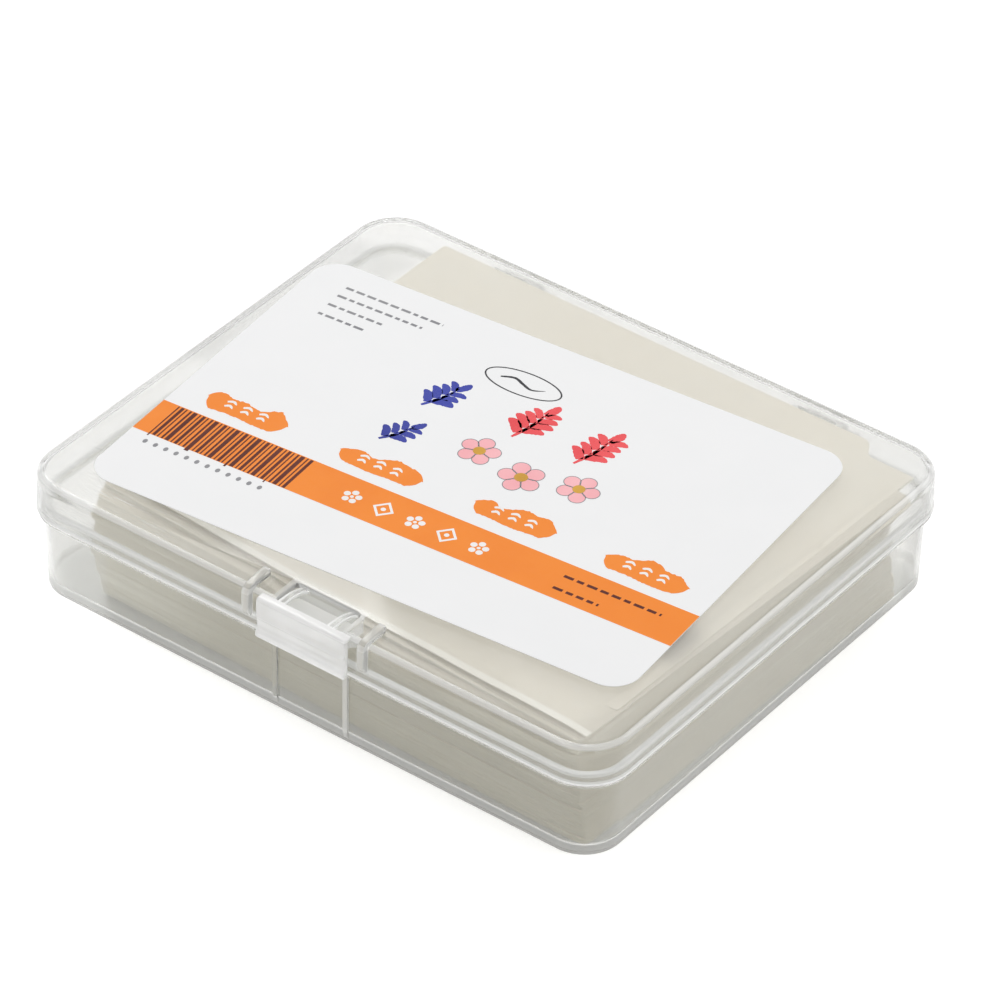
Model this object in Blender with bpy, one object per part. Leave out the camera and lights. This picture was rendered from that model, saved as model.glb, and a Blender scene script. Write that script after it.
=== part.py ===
"""Clear hinged flip-top box holding a stack of edible rice paper.

Metres, +Z up. X runs along the long sides, the latch is on the -Y side and the
hinge on the +Y side. The origin is at the centre of the footprint, on the
surface the box stands on.
"""

import math

import bmesh
import bpy
from mathutils import Matrix, Vector

MM = 0.001

# ---------------------------------------------------------------- dimensions (mm)
# Base tray
BASE_HALF_FOOT = (45.50, 37.75)   # outer half sizes at the table
BASE_HALF_RIM = (45.70, 37.90)    # outer half sizes at the rim
BASE_RIM_Z = 13.5
BASE_CORNER_R = 5.6
BASE_FOOT_R = 0.4
BASE_WALL = 0.85
BASE_FLOOR = 1.0
LEDGE_PROUD = 0.9                 # ledge right round the base, just below the lid's edge
LEDGE_Z = (10.9, 11.9)
LEDGE_GAP = (38.02, 39.8, 10.4, 12.6)   # y and z of the breaks in it for the hinge knuckles
RIB_SPREAD = 5.65                 # two upright ribs below the latch, from its centre
RIB_WIDTH = 0.75
RIB_PROUD = 0.35

# Lid
LID_HALF_EDGE = (46.70, 38.95)    # outer half sizes at the skirt's lower edge
LID_HALF_TOP = (46.50, 38.75)     # outer half sizes at the top
LID_EDGE_Z = 12.2
LID_TOP_Z = 18.2
LID_CORNER_R = 6.6
LID_TOP_R = 1.0
LID_INNER_R = 0.8
LID_WALL = 0.65
LID_PLATE = 1.0

# Latch, its notch and the two ears beside it
CLASP_X = 1.2
NOTCH_HALF = 5.2
NOTCH_BACK_Y = -34.1
NOTCH_CORNER_R = 0.8
RECESS_WALL = 0.65                # a shallow cup hangs down round the notch
RECESS_FLOOR = 0.6
RECESS_Z = 15.2                   # underside of the cup
EAR_SPREAD = 9.2
EAR_THICK = 1.1
FLAP_HALF = 7.1
FLAP_EDGE_R = 0.45
STRAP_SPREAD = 3.9
STRAP_WIDTH = 1.15
STRAP_THICK = 0.4
LATCH_AXIS_YZ = (-34.9, 17.5)

# Hinge at the back
HINGE_YZ = (40.6, 12.0)
HINGE_SPREAD = 25.0
PIN_R = 0.75
BORE_R = 1.05
KNUCKLE_R = 1.75
KNUCKLE_WIDTH = 6.0
LUG_R = 1.3
LUG_WIDTH = 1.8
HINGE_GAP = 0.35

# Rice paper
PAPER = (79.0, 65.0)
PAPER_GAP = 0.3                   # kept above the tray's floor
# how the pile leans: height, centre x, centre y, turn in degrees
PILE = ((1.0, 3.85, -2.2, -1.2), (3.0, 3.7, -2.4, -1.2), (5.5, 3.4, -2.7, -1.0), (8.0, 3.1, -2.9, -0.9),
        (10.5, 3.0, -2.8, -1.0), (12.5, 2.9, -2.4, -1.3), (14.3, 2.6, -1.5, -2.0), (14.65, 2.6, -0.35, -2.6),
        (15.2, 2.8, -0.35, -2.6), (15.4, 3.4, 0.4, -2.9), (16.0, 3.4, 0.4, -2.9))
SLID = (3.4, 5.05, -0.25)         # a few of the topmost sheets, slid back to the wall
SLID_Z = (15.5, 15.9)
SLID_CORNER = (8.5, 2.85)         # their missing corner at the back right
SLID_TAPER = 1.6                  # trimmed off their right side at the front

# Label
LABEL = (81.4, 57.2)
LABEL_CENTRE = (-1.8, -1.5)
LABEL_TURN = 4.9
LABEL_CORNER_R = 4.0
LABEL_THICK = 0.15
LABEL_GAP = 0.3

CORNER_SEGS = 8
EDGE_SEGS = 4


# ---------------------------------------------------------------- scene set-up
for old in list(bpy.data.objects):
    bpy.data.objects.remove(old, do_unlink=True)

parts = bpy.data.collections.new("rice_paper_box")
cutters = bpy.data.collections.new("cutters")
bpy.context.scene.collection.children.link(parts)
bpy.context.scene.collection.children.link(cutters)
cutters.hide_render = True


def material(name, colour, roughness, metallic=0.0, alpha=1.0, transmission=0.0):
    mat = bpy.data.materials.new(name)
    mat.use_nodes = True
    shader = mat.node_tree.nodes["Principled BSDF"]
    shader.inputs["Base Color"].default_value = (*colour, 1.0)
    shader.inputs["Roughness"].default_value = roughness
    shader.inputs["Metallic"].default_value = metallic
    shader.inputs["Alpha"].default_value = alpha
    shader.inputs["Transmission Weight"].default_value = transmission
    mat.diffuse_color = (*colour, alpha)
    return mat


CLEAR_BASE = material("clear_plastic_base", (0.86, 0.87, 0.86), 0.18, 0.0, 0.45, 0.8)
CLEAR_LID = material("clear_plastic_lid", (0.88, 0.89, 0.88), 0.15, 0.0, 0.45, 0.8)
CLEAR_LATCH = material("clear_plastic_latch", (0.88, 0.88, 0.87), 0.2, 0.0, 0.6, 0.7)
PAPER_MAT = material("rice_paper", (0.76, 0.73, 0.64), 0.65)
LABEL_MAT = material("printed_label", (0.9, 0.9, 0.9), 0.45)


def finish(bm, name, mat, collection=parts):
    """Turn a bmesh in millimetres into a named object in metres."""
    bmesh.ops.scale(bm, vec=(MM, MM, MM), verts=bm.verts)
    bmesh.ops.recalc_face_normals(bm, faces=bm.faces)
    mesh = bpy.data.meshes.new(name)
    bm.to_mesh(mesh)
    bm.free()
    obj = bpy.data.objects.new(name, mesh)
    if mat is not None:
        mesh.materials.append(mat)
    collection.objects.link(obj)
    if collection is cutters:
        obj.hide_render = True
        obj.display_type = "WIRE"
    return obj


def block(low, high, z0, z1, corner_r, foot_r=0.0, top_r=0.0, segs=CORNER_SEGS):
    """A drafted block with rounded upright corners and rounded foot or top edges.

    low and high are its half sizes at z0 and z1."""
    bm = bmesh.new()
    bmesh.ops.create_cube(bm, size=2.0)
    for vert in bm.verts:
        half, z = (high, z1) if vert.co.z > 0 else (low, z0)
        vert.co = Vector((math.copysign(half[0], vert.co.x), math.copysign(half[1], vert.co.y), z))
    upright = [e for e in bm.edges if abs(e.verts[0].co.z - e.verts[1].co.z) > 0.1]
    bmesh.ops.bevel(bm, geom=upright, offset=corner_r, offset_type="OFFSET",
                    segments=segs, profile=0.5, affect="EDGES", clamp_overlap=True)
    for radius, z in ((foot_r, z0), (top_r, z1)):
        if radius > 0.0:
            ring = [e for e in bm.edges if all(abs(v.co.z - z) < 1e-4 for v in e.verts)]
            bmesh.ops.bevel(bm, geom=ring, offset=radius, offset_type="OFFSET",
                            segments=EDGE_SEGS, profile=0.5, affect="EDGES", clamp_overlap=True)
    return bm


def box(x0, x1, y0, y1, z0, z1):
    bm = bmesh.new()
    bmesh.ops.create_cube(bm, size=1.0)
    bmesh.ops.scale(bm, vec=(x1 - x0, y1 - y0, z1 - z0), verts=bm.verts)
    bmesh.ops.translate(bm, vec=((x0 + x1) / 2, (y0 + y1) / 2, (z0 + z1) / 2), verts=bm.verts)
    return bm


def section(name, outline, x0, x1, mat, collection=parts):
    """A closed outline in (y, z), as a filled 2D curve extruded from x0 to x1."""
    curve = bpy.data.curves.new(name + "_outline", "CURVE")
    curve.dimensions = "2D"
    curve.fill_mode = "BOTH"
    curve.extrude = (x1 - x0) / 2 * MM
    spline = curve.splines.new("POLY")
    spline.points.add(len(outline) - 1)
    for point, (y, z) in zip(spline.points, outline):
        point.co = (y * MM, z * MM, 0.0, 1.0)
    spline.use_cyclic_u = True
    drawn = bpy.data.objects.new(name + "_curve", curve)
    bpy.context.scene.collection.objects.link(drawn)
    # local X, Y, Z of the curve become world Y, Z, X
    drawn.matrix_world = Matrix.Translation(((x0 + x1) / 2 * MM, 0, 0)) @ Matrix(
        ((0, 0, 1, 0), (1, 0, 0, 0), (0, 1, 0, 0), (0, 0, 0, 1)))
    return to_mesh(drawn, name, mat, collection)


def rod(name, yz, radius, x0, x1, sides, mat, collection=parts):
    bm = bmesh.new()
    bmesh.ops.create_cone(bm, cap_ends=True, segments=sides, radius1=radius, radius2=radius, depth=x1 - x0,
                          matrix=Matrix.Translation(((x0 + x1) / 2, *yz)) @ Matrix.Rotation(math.pi / 2, 4, "Y"))
    return finish(bm, name, mat, collection)


def to_mesh(drawn, name, mat, collection):
    """Make a curve object into a welded mesh object, so that it can be joined or cut."""
    bpy.context.view_layer.update()
    graph = bpy.context.evaluated_depsgraph_get()
    mesh = bpy.data.meshes.new_from_object(drawn.evaluated_get(graph))
    mesh.name = name
    bm = bmesh.new()
    bm.from_mesh(mesh)
    bmesh.ops.remove_doubles(bm, verts=bm.verts, dist=1e-6)
    bmesh.ops.recalc_face_normals(bm, faces=bm.faces)
    bm.to_mesh(mesh)
    bm.free()
    mesh.materials.clear()
    if mat is not None:
        mesh.materials.append(mat)
    obj = bpy.data.objects.new(name, mesh)
    obj.matrix_world = drawn.matrix_world.copy()
    curve = drawn.data
    bpy.data.objects.remove(drawn)
    bpy.data.curves.remove(curve)
    collection.objects.link(obj)
    if collection is cutters:
        obj.hide_render = True
        obj.display_type = "WIRE"
    return obj


def combine(target, other, operation):
    mod = target.modifiers.new(operation.lower() + "_" + other.name, "BOOLEAN")
    mod.operation = operation
    mod.solver = "EXACT"
    mod.object = other


def smooth(obj, angle=35.0):
    obj.data.shade_smooth()
    obj.data.set_sharp_from_angle(angle=math.radians(angle))


def arc(centre, radius, start, end, count):
    """Points on an arc, in degrees, both ends included."""
    return [(centre[0] + radius * math.cos(math.radians(start + (end - start) * i / count)),
             centre[1] + radius * math.sin(math.radians(start + (end - start) * i / count)))
            for i in range(count + 1)]


# ---------------------------------------------------------------- base tray
base = finish(block(BASE_HALF_FOOT, BASE_HALF_RIM, 0.0, BASE_RIM_Z, BASE_CORNER_R, foot_r=BASE_FOOT_R),
              "box_base", CLEAR_BASE)
over = 1.0
slope = [(r - f) / BASE_RIM_Z for r, f in zip(BASE_HALF_RIM, BASE_HALF_FOOT)]

# ledge round the outside, added before the tray is hollowed
ledge_low = [f + s * LEDGE_Z[0] - 0.02 for f, s in zip(BASE_HALF_FOOT, slope)]
ledge_high = [f + s * LEDGE_Z[1] + LEDGE_PROUD for f, s in zip(BASE_HALF_FOOT, slope)]
ledge = finish(block(ledge_low, ledge_high, *LEDGE_Z, BASE_CORNER_R + LEDGE_PROUD), "ledge", None, cutters)
combine(base, ledge, "UNION")
inner_low = [f + s * BASE_FLOOR - BASE_WALL for f, s in zip(BASE_HALF_FOOT, slope)]
inner_high = [f + s * (BASE_RIM_Z + over) - BASE_WALL for f, s in zip(BASE_HALF_FOOT, slope)]
tray_void = finish(block(inner_low, inner_high, BASE_FLOOR, BASE_RIM_Z + over, BASE_CORNER_R - BASE_WALL, foot_r=0.8),
                   "cut_tray", None, cutters)
combine(base, tray_void, "DIFFERENCE")

wall_y = BASE_HALF_FOOT[1]
for side, tag in ((-1, "l"), (1, "r")):
    x = CLASP_X + side * RIB_SPREAD
    rib_outline = [(-wall_y + 0.45, 0.9), (-wall_y + 0.45, 11.6), (-wall_y - RIB_PROUD - 0.12, 11.5),
                   (-wall_y - RIB_PROUD, 2.0), (-wall_y - 0.1, 0.95)]
    rib = section("rib_" + tag, rib_outline, x - RIB_WIDTH / 2, x + RIB_WIDTH / 2, None, cutters)
    combine(base, rib, "UNION")

# breaks in the ledge, so that the lid's hinge knuckles stay clear of it
gap_y0, gap_y1, gap_z0, gap_z1 = LEDGE_GAP
for side, tag in ((-1, "l"), (1, "r")):
    half = KNUCKLE_WIDTH / 2 + HINGE_GAP
    ledge_gap = finish(box(side * HINGE_SPREAD - half, side * HINGE_SPREAD + half, gap_y0, gap_y1, gap_z0, gap_z1),
                       "cut_ledge_" + tag, None, cutters)
    combine(base, ledge_gap, "DIFFERENCE")

# ---------------------------------------------------------------- lid
lid = finish(block(LID_HALF_EDGE, LID_HALF_TOP, LID_EDGE_Z, LID_TOP_Z, LID_CORNER_R, top_r=LID_TOP_R),
             "box_lid", CLEAR_LID)
under = 1.0
rise = LID_TOP_Z - LID_EDGE_Z
lean = [(t - e) / rise for e, t in zip(LID_HALF_EDGE, LID_HALF_TOP)]
void_low = [e - lean_i * under - LID_WALL for e, lean_i in zip(LID_HALF_EDGE, lean)]
void_high = [e + lean_i * (rise - LID_PLATE) - LID_WALL for e, lean_i in zip(LID_HALF_EDGE, lean)]
lid_void = finish(block(void_low, void_high, LID_EDGE_Z - under, LID_TOP_Z - LID_PLATE,
                        LID_CORNER_R - LID_WALL, top_r=LID_INNER_R), "cut_lid", None, cutters)
combine(lid, lid_void, "DIFFERENCE")

# recess behind the latch: a small cup hanging from the top plate, open above
outer, inner = NOTCH_HALF + RECESS_WALL, NOTCH_HALF
recess = finish(box(CLASP_X - outer, CLASP_X + outer, -38.4, NOTCH_BACK_Y + RECESS_WALL, RECESS_Z, LID_TOP_Z - LID_PLATE + 0.1),
                "recess", None, cutters)
combine(lid, recess, "UNION")
pocket = finish(box(CLASP_X - inner, CLASP_X + inner, -38.22, NOTCH_BACK_Y, RECESS_Z + RECESS_FLOOR, LID_TOP_Z - LID_PLATE - 0.2),
                "cut_recess", None, cutters)
combine(lid, pocket, "DIFFERENCE")

# notch in the lid's top plate, behind the latch
notch_bm = box(CLASP_X - NOTCH_HALF, CLASP_X + NOTCH_HALF, -42.0, NOTCH_BACK_Y, 16.6, 20.0)
back_corners = [e for e in notch_bm.edges
                if all(abs(v.co.y - NOTCH_BACK_Y) < 1e-6 for v in e.verts)
                and abs(e.verts[0].co.z - e.verts[1].co.z) > 0.1]
bmesh.ops.bevel(notch_bm, geom=back_corners, offset=NOTCH_CORNER_R, segments=4, profile=0.5, affect="EDGES")
notch = finish(notch_bm, "cut_notch", None, cutters)
combine(lid, notch, "DIFFERENCE")

# ears that guard the latch, wrapped over the lid's front top edge
ear_outline = ([(-35.0, 17.6), (-38.6, 17.6), (-38.6, 14.2), (-39.15, 14.2), (-39.70, 15.2), (-39.75, 17.2)]
               + arc((-38.35, 17.6), 1.40, 185, 110, 4)
               + [(-37.2, 19.10), (-35.3, 19.25), (-35.0, 19.0)])
for side, name in ((-1, "ear_l"), (1, "ear_r")):
    x = CLASP_X + side * EAR_SPREAD
    ear = section(name, ear_outline, x - EAR_THICK / 2, x + EAR_THICK / 2, None, cutters)
    combine(lid, ear, "UNION")

# ---------------------------------------------------------------- hinge
hy, hz = HINGE_YZ
for side, tag in ((-1, "l"), (1, "r")):
    cx = side * HINGE_SPREAD
    # lid knuckle with its web and bore
    knuckle_outline = ([(38.5, 12.7), (38.95, 12.4)]
                       + arc((hy, hz), KNUCKLE_R, 170, 450, 18)
                       + [(38.85, 15.4), (38.5, 15.4)])
    knuckle = section("knuckle_" + tag, knuckle_outline, cx - KNUCKLE_WIDTH / 2, cx + KNUCKLE_WIDTH / 2, None, cutters)
    combine(lid, knuckle, "UNION")
    bore = rod("bore_" + tag, (hy, hz), BORE_R, cx - KNUCKLE_WIDTH, cx + KNUCKLE_WIDTH, 20, None, cutters)
    combine(lid, bore, "DIFFERENCE")
    # base lugs on both sides of the knuckle, joined by the pin
    lug_outline = ([(37.5, 9.2), (37.5, 11.75), (39.6, 11.75)]
                   + arc((hy, hz), LUG_R, 168, -72, 14))
    for step in (-1, 1):
        near = cx + step * (KNUCKLE_WIDTH / 2 + HINGE_GAP)
        far = near + step * LUG_WIDTH
        lug = section("lug_%s_%s" % (tag, "a" if step < 0 else "b"), lug_outline, min(near, far), max(near, far), None, cutters)
        combine(base, lug, "UNION")
    reach = KNUCKLE_WIDTH / 2 + HINGE_GAP + LUG_WIDTH / 2
    pin = rod("pin_" + tag, (hy, hz), PIN_R, cx - reach, cx + reach, 16, None, cutters)
    combine(base, pin, "UNION")

# ---------------------------------------------------------------- latch flap with its two living-hinge straps
# flap section, from the inner lower edge round the outside to the top lip
flap_outline = [(-39.30, 12.45), (-39.95, 12.35), (-40.30, 12.55), (-40.32, 13.10), (-40.02, 13.55),
                (-39.95, 15.15), (-40.16, 15.45), (-40.10, 17.60)]
flap_outline += arc((-39.45, 17.80), 0.65, 172, 95, 4)
flap_outline += [(-38.70, 18.55), (-38.62, 18.12), (-39.00, 17.98), (-39.25, 17.60)]
latch_origin = Vector((CLASP_X, *LATCH_AXIS_YZ)) * MM
flap = section("latch_flap", flap_outline, CLASP_X - FLAP_HALF, CLASP_X + FLAP_HALF, CLEAR_LATCH)

strap_start = LATCH_AXIS_YZ
strap_end = (-38.85, 18.33)


def strap_outline():
    """A thin arched band from the latch axis to the flap's lip, with a round free end."""
    steps = 8
    sag = 0.36
    dy, dz = strap_end[0] - strap_start[0], strap_end[1] - strap_start[1]
    length = math.hypot(dy, dz)
    ny, nz = (-dz / length, dy / length)
    if nz < 0:
        ny, nz = -ny, -nz
    middle = []
    for i in range(steps + 1):
        t = i / steps
        lift = sag * 4 * t * (1 - t)
        middle.append((strap_start[0] + dy * t + ny * lift, strap_start[1] + dz * t + nz * lift))
    half = STRAP_THICK / 2
    upper, lower = [], []
    for i, (y, z) in enumerate(middle):
        a, b = middle[max(i - 1, 0)], middle[min(i + 1, steps)]
        ty, tz = b[0] - a[0], b[1] - a[1]
        norm = math.hypot(ty, tz)
        py, pz = -tz / norm, ty / norm
        if pz < 0:
            py, pz = -py, -pz
        upper.append((y + py * half, z + pz * half))
        lower.append((y - py * half, z - pz * half))
    a, b = upper[0], lower[0]
    start = math.degrees(math.atan2(a[1] - strap_start[1], a[0] - strap_start[0]))
    cap = arc(strap_start, half, start, start - 180, 6)[1:-1]
    return upper[::-1] + cap + lower


for side, name in ((-1, "strap_l"), (1, "strap_r")):
    x = CLASP_X + side * STRAP_SPREAD
    strap = section(name, strap_outline(), x - STRAP_WIDTH / 2, x + STRAP_WIDTH / 2, None, cutters)
    combine(flap, strap, "UNION")

# ---------------------------------------------------------------- rice paper
paper_bm = bmesh.new()
bmesh.ops.create_cube(paper_bm, size=1.0)
uprights = [e for e in paper_bm.edges if abs(e.verts[0].co.z - e.verts[1].co.z) > 0.1]
bmesh.ops.subdivide_edges(paper_bm, edges=uprights, cuts=len(PILE) - 2, use_grid_fill=True)
for vert in paper_bm.verts:
    # the sheets lean and turn a little, and the upper ones slid back as they were stacked
    height, cx, cy, turn = PILE[round((vert.co.z + 0.5) * (len(PILE) - 1))]
    corner = Vector((math.copysign(PAPER[0] / 2, vert.co.x), math.copysign(PAPER[1] / 2, vert.co.y), 0.0))
    vert.co = Matrix.Rotation(math.radians(turn), 3, "Z") @ corner + Vector((cx, cy, max(height, BASE_FLOOR + PAPER_GAP)))
paper = finish(paper_bm, "rice_paper_stack", PAPER_MAT)

slid_bm = box(-PAPER[0] / 2, PAPER[0] / 2, -PAPER[1] / 2, PAPER[1] / 2, *SLID_Z)
for vert in slid_bm.verts:
    if vert.co.x > 0 > vert.co.y:
        vert.co.x -= SLID_TAPER
bmesh.ops.transform(slid_bm, verts=slid_bm.verts,
                    matrix=Matrix.Translation((SLID[0], SLID[1], 0.0)) @ Matrix.Rotation(math.radians(SLID[2]), 4, "Z"))
slid = finish(slid_bm, "slid_sheets", None, cutters)
corner_bm = box(PAPER[0] / 2 - SLID_CORNER[0], PAPER[0], PAPER[1] / 2 - SLID_CORNER[1], PAPER[1], SLID_Z[0] - 1.0, SLID_Z[1] + 1.0)
bmesh.ops.transform(corner_bm, verts=corner_bm.verts,
                    matrix=Matrix.Translation((SLID[0], SLID[1], 0.0)) @ Matrix.Rotation(math.radians(SLID[2]), 4, "Z"))
torn = finish(corner_bm, "cut_torn_corner", None, cutters)
combine(slid, torn, "DIFFERENCE")
combine(paper, slid, "UNION")

# ---------------------------------------------------------------- label
label_bm = block((LABEL[0] / 2, LABEL[1] / 2), (LABEL[0] / 2, LABEL[1] / 2), 0.0, LABEL_THICK, LABEL_CORNER_R)
bmesh.ops.transform(label_bm, verts=label_bm.verts,
                    matrix=Matrix.Translation((*LABEL_CENTRE, LID_TOP_Z + LABEL_GAP))
                    @ Matrix.Rotation(math.radians(LABEL_TURN), 4, "Z"))
label = finish(label_bm, "label", LABEL_MAT)

# ---------------------------------------------------------------- joint axes and shading
for obj in (base, lid, flap, label):
    smooth(obj)

lid_axis = bpy.data.objects.new("lid_axis", None)
lid_axis.location = (0.0, hy * MM, hz * MM)
parts.objects.link(lid_axis)
latch_axis = bpy.data.objects.new("latch_axis", None)
latch_axis.location = latch_origin
parts.objects.link(latch_axis)
bpy.context.view_layer.update()


def attach(child, parent):
    world = child.matrix_world.copy()
    child.parent = parent
    child.matrix_parent_inverse = parent.matrix_world.inverted()
    child.matrix_world = world


attach(latch_axis, lid_axis)
for obj in (lid, label):
    attach(obj, lid_axis)
attach(flap, latch_axis)
bpy.context.view_layer.update()
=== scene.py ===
import math
import random

import bmesh
import bpy
from mathutils import Matrix, Vector, noise


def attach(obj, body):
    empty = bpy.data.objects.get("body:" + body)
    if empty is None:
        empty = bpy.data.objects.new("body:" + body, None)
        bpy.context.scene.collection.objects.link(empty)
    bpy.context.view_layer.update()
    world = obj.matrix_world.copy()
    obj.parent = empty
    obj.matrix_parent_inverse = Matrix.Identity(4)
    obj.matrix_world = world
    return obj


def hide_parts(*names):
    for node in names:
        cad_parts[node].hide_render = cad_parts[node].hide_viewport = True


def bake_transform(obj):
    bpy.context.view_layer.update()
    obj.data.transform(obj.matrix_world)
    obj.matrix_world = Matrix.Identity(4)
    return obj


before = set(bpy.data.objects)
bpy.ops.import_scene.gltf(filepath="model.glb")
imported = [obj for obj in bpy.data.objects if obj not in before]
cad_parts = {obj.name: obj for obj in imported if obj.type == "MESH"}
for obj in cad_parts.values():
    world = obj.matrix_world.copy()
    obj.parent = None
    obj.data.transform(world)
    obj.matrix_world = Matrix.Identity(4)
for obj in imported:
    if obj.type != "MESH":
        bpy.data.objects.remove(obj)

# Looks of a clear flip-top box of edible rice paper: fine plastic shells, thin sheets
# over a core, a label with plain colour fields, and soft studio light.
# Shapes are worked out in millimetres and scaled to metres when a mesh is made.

MM = 0.001
scene = bpy.context.scene
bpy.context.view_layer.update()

# ---------------------------------------------------------------- camera
AZIMUTH, ELEVATION, ROLL = map(math.radians, (36.408, 37.408, 1.447))
FOCAL_PX, DISTANCE, TARGET = 6099.187, 793.152, Vector((-2.116, 3.708, 11.0))

back = Vector((math.sin(AZIMUTH) * math.cos(ELEVATION), -math.cos(AZIMUTH) * math.cos(ELEVATION), math.sin(ELEVATION)))
flat_right = Vector((math.cos(AZIMUTH), math.sin(AZIMUTH), 0.0))
flat_up = back.cross(flat_right)
right = math.cos(ROLL) * flat_right + math.sin(ROLL) * flat_up
up = -math.sin(ROLL) * flat_right + math.cos(ROLL) * flat_up
camera_data = bpy.data.cameras.new("camera")
camera_data.sensor_width = 36.0
camera_data.lens = FOCAL_PX * 36.0 / 981.0
camera_data.clip_start, camera_data.clip_end = 0.05, 20.0
camera = bpy.data.objects.new("camera", camera_data)
scene.collection.objects.link(camera)
place = Matrix((right, up, back)).transposed().to_4x4()
place.translation = (TARGET + back * DISTANCE) * MM
camera.matrix_world = place
scene.camera = camera

# ---------------------------------------------------------------- node helpers


class Graph:
    """A material's node tree, with short calls for the nodes used here."""

    def __init__(self, name):
        self.mat = bpy.data.materials.new(name)
        self.mat.use_nodes = True
        self.tree = self.mat.node_tree
        self.tree.nodes.clear()
        self.out = self.node("ShaderNodeOutputMaterial")

    def node(self, kind, **props):
        made = self.tree.nodes.new(kind)
        for key, value in props.items():
            setattr(made, key, value)
        return made

    def link(self, a, b):
        self.tree.links.new(a, b)

    def mm(self):
        """Object coordinates in millimetres."""
        coord = self.node("ShaderNodeTexCoord")
        scale = self.node("ShaderNodeVectorMath", operation="SCALE")
        scale.inputs["Scale"].default_value = 1000.0
        self.link(coord.outputs["Object"], scale.inputs[0])
        return scale.outputs[0]

    def mapped(self, vector, scale=(1, 1, 1), rotation=(0, 0, 0), location=(0, 0, 0)):
        mapping = self.node("ShaderNodeMapping")
        mapping.inputs["Scale"].default_value = scale
        mapping.inputs["Rotation"].default_value = [math.radians(a) for a in rotation]
        mapping.inputs["Location"].default_value = location
        self.link(vector, mapping.inputs["Vector"])
        return mapping.outputs[0]

    def noise(self, vector, scale, detail=3.0, rough=0.5, distortion=0.0):
        made = self.node("ShaderNodeTexNoise")
        made.inputs["Scale"].default_value = scale
        made.inputs["Detail"].default_value = detail
        made.inputs["Roughness"].default_value = rough
        made.inputs["Distortion"].default_value = distortion
        self.link(vector, made.inputs["Vector"])
        return made.outputs["Fac"]

    def steps(self, value, low, high, out_low=0.0, out_high=1.0):
        made = self.node("ShaderNodeMapRange", interpolation_type="SMOOTHSTEP")
        for key, number in (("From Min", low), ("From Max", high), ("To Min", out_low), ("To Max", out_high)):
            made.inputs[key].default_value = number
        self.link(value, made.inputs["Value"])
        return made.outputs["Result"]

    def math(self, operation, a, b=None):
        made = self.node("ShaderNodeMath", operation=operation)
        for socket, value in zip(made.inputs, (a, b)):
            if value is None:
                continue
            if isinstance(value, (int, float)):
                socket.default_value = value
            else:
                self.link(value, socket)
        return made.outputs[0]

    def mix(self, factor, a, b):
        made = self.node("ShaderNodeMix", data_type="RGBA")
        for socket, value in ((made.inputs[0], factor), (made.inputs[6], a), (made.inputs[7], b)):
            if isinstance(value, (int, float)):
                socket.default_value = value
            elif isinstance(value, tuple):
                socket.default_value = (*value[:3], 1.0)
            else:
                self.link(value, socket)
        return made.outputs[2]

    def bump(self, height, strength, distance):
        made = self.node("ShaderNodeBump")
        made.inputs["Strength"].default_value = strength
        made.inputs["Distance"].default_value = distance * MM
        self.link(height, made.inputs["Height"])
        return made.outputs[0]

    def axis(self, vector, name):
        made = self.node("ShaderNodeSeparateXYZ")
        self.link(vector, made.inputs[0])
        return made.outputs[name]

    def inset(self, vector, half_x, half_y, radius):
        """Distance inwards from a rounded rectangle's outline, exact near the outline."""
        reach = []
        for name, half in (("X", half_x), ("Y", half_y)):
            beyond = self.math("SUBTRACT", self.math("ABSOLUTE", self.axis(vector, name)), half - radius)
            beyond = self.math("MAXIMUM", beyond, 0.0)
            reach.append(self.math("MULTIPLY", beyond, beyond))
        return self.math("SUBTRACT", radius, self.math("SQRT", self.math("ADD", *reach)))

    def between(self, value, low, high, soft):
        """1 between low and high, fading to 0 over soft outside of them."""
        rise = self.steps(value, low - soft, low)
        fall = self.steps(value, high, high + soft, 1.0, 0.0)
        return self.math("MULTIPLY", rise, fall)


def srgb(r, g, b):
    def lin(c):
        c /= 255.0
        return c / 12.92 if c <= 0.04045 else ((c + 0.055) / 1.055) ** 2.4
    return (lin(r), lin(g), lin(b))


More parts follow.
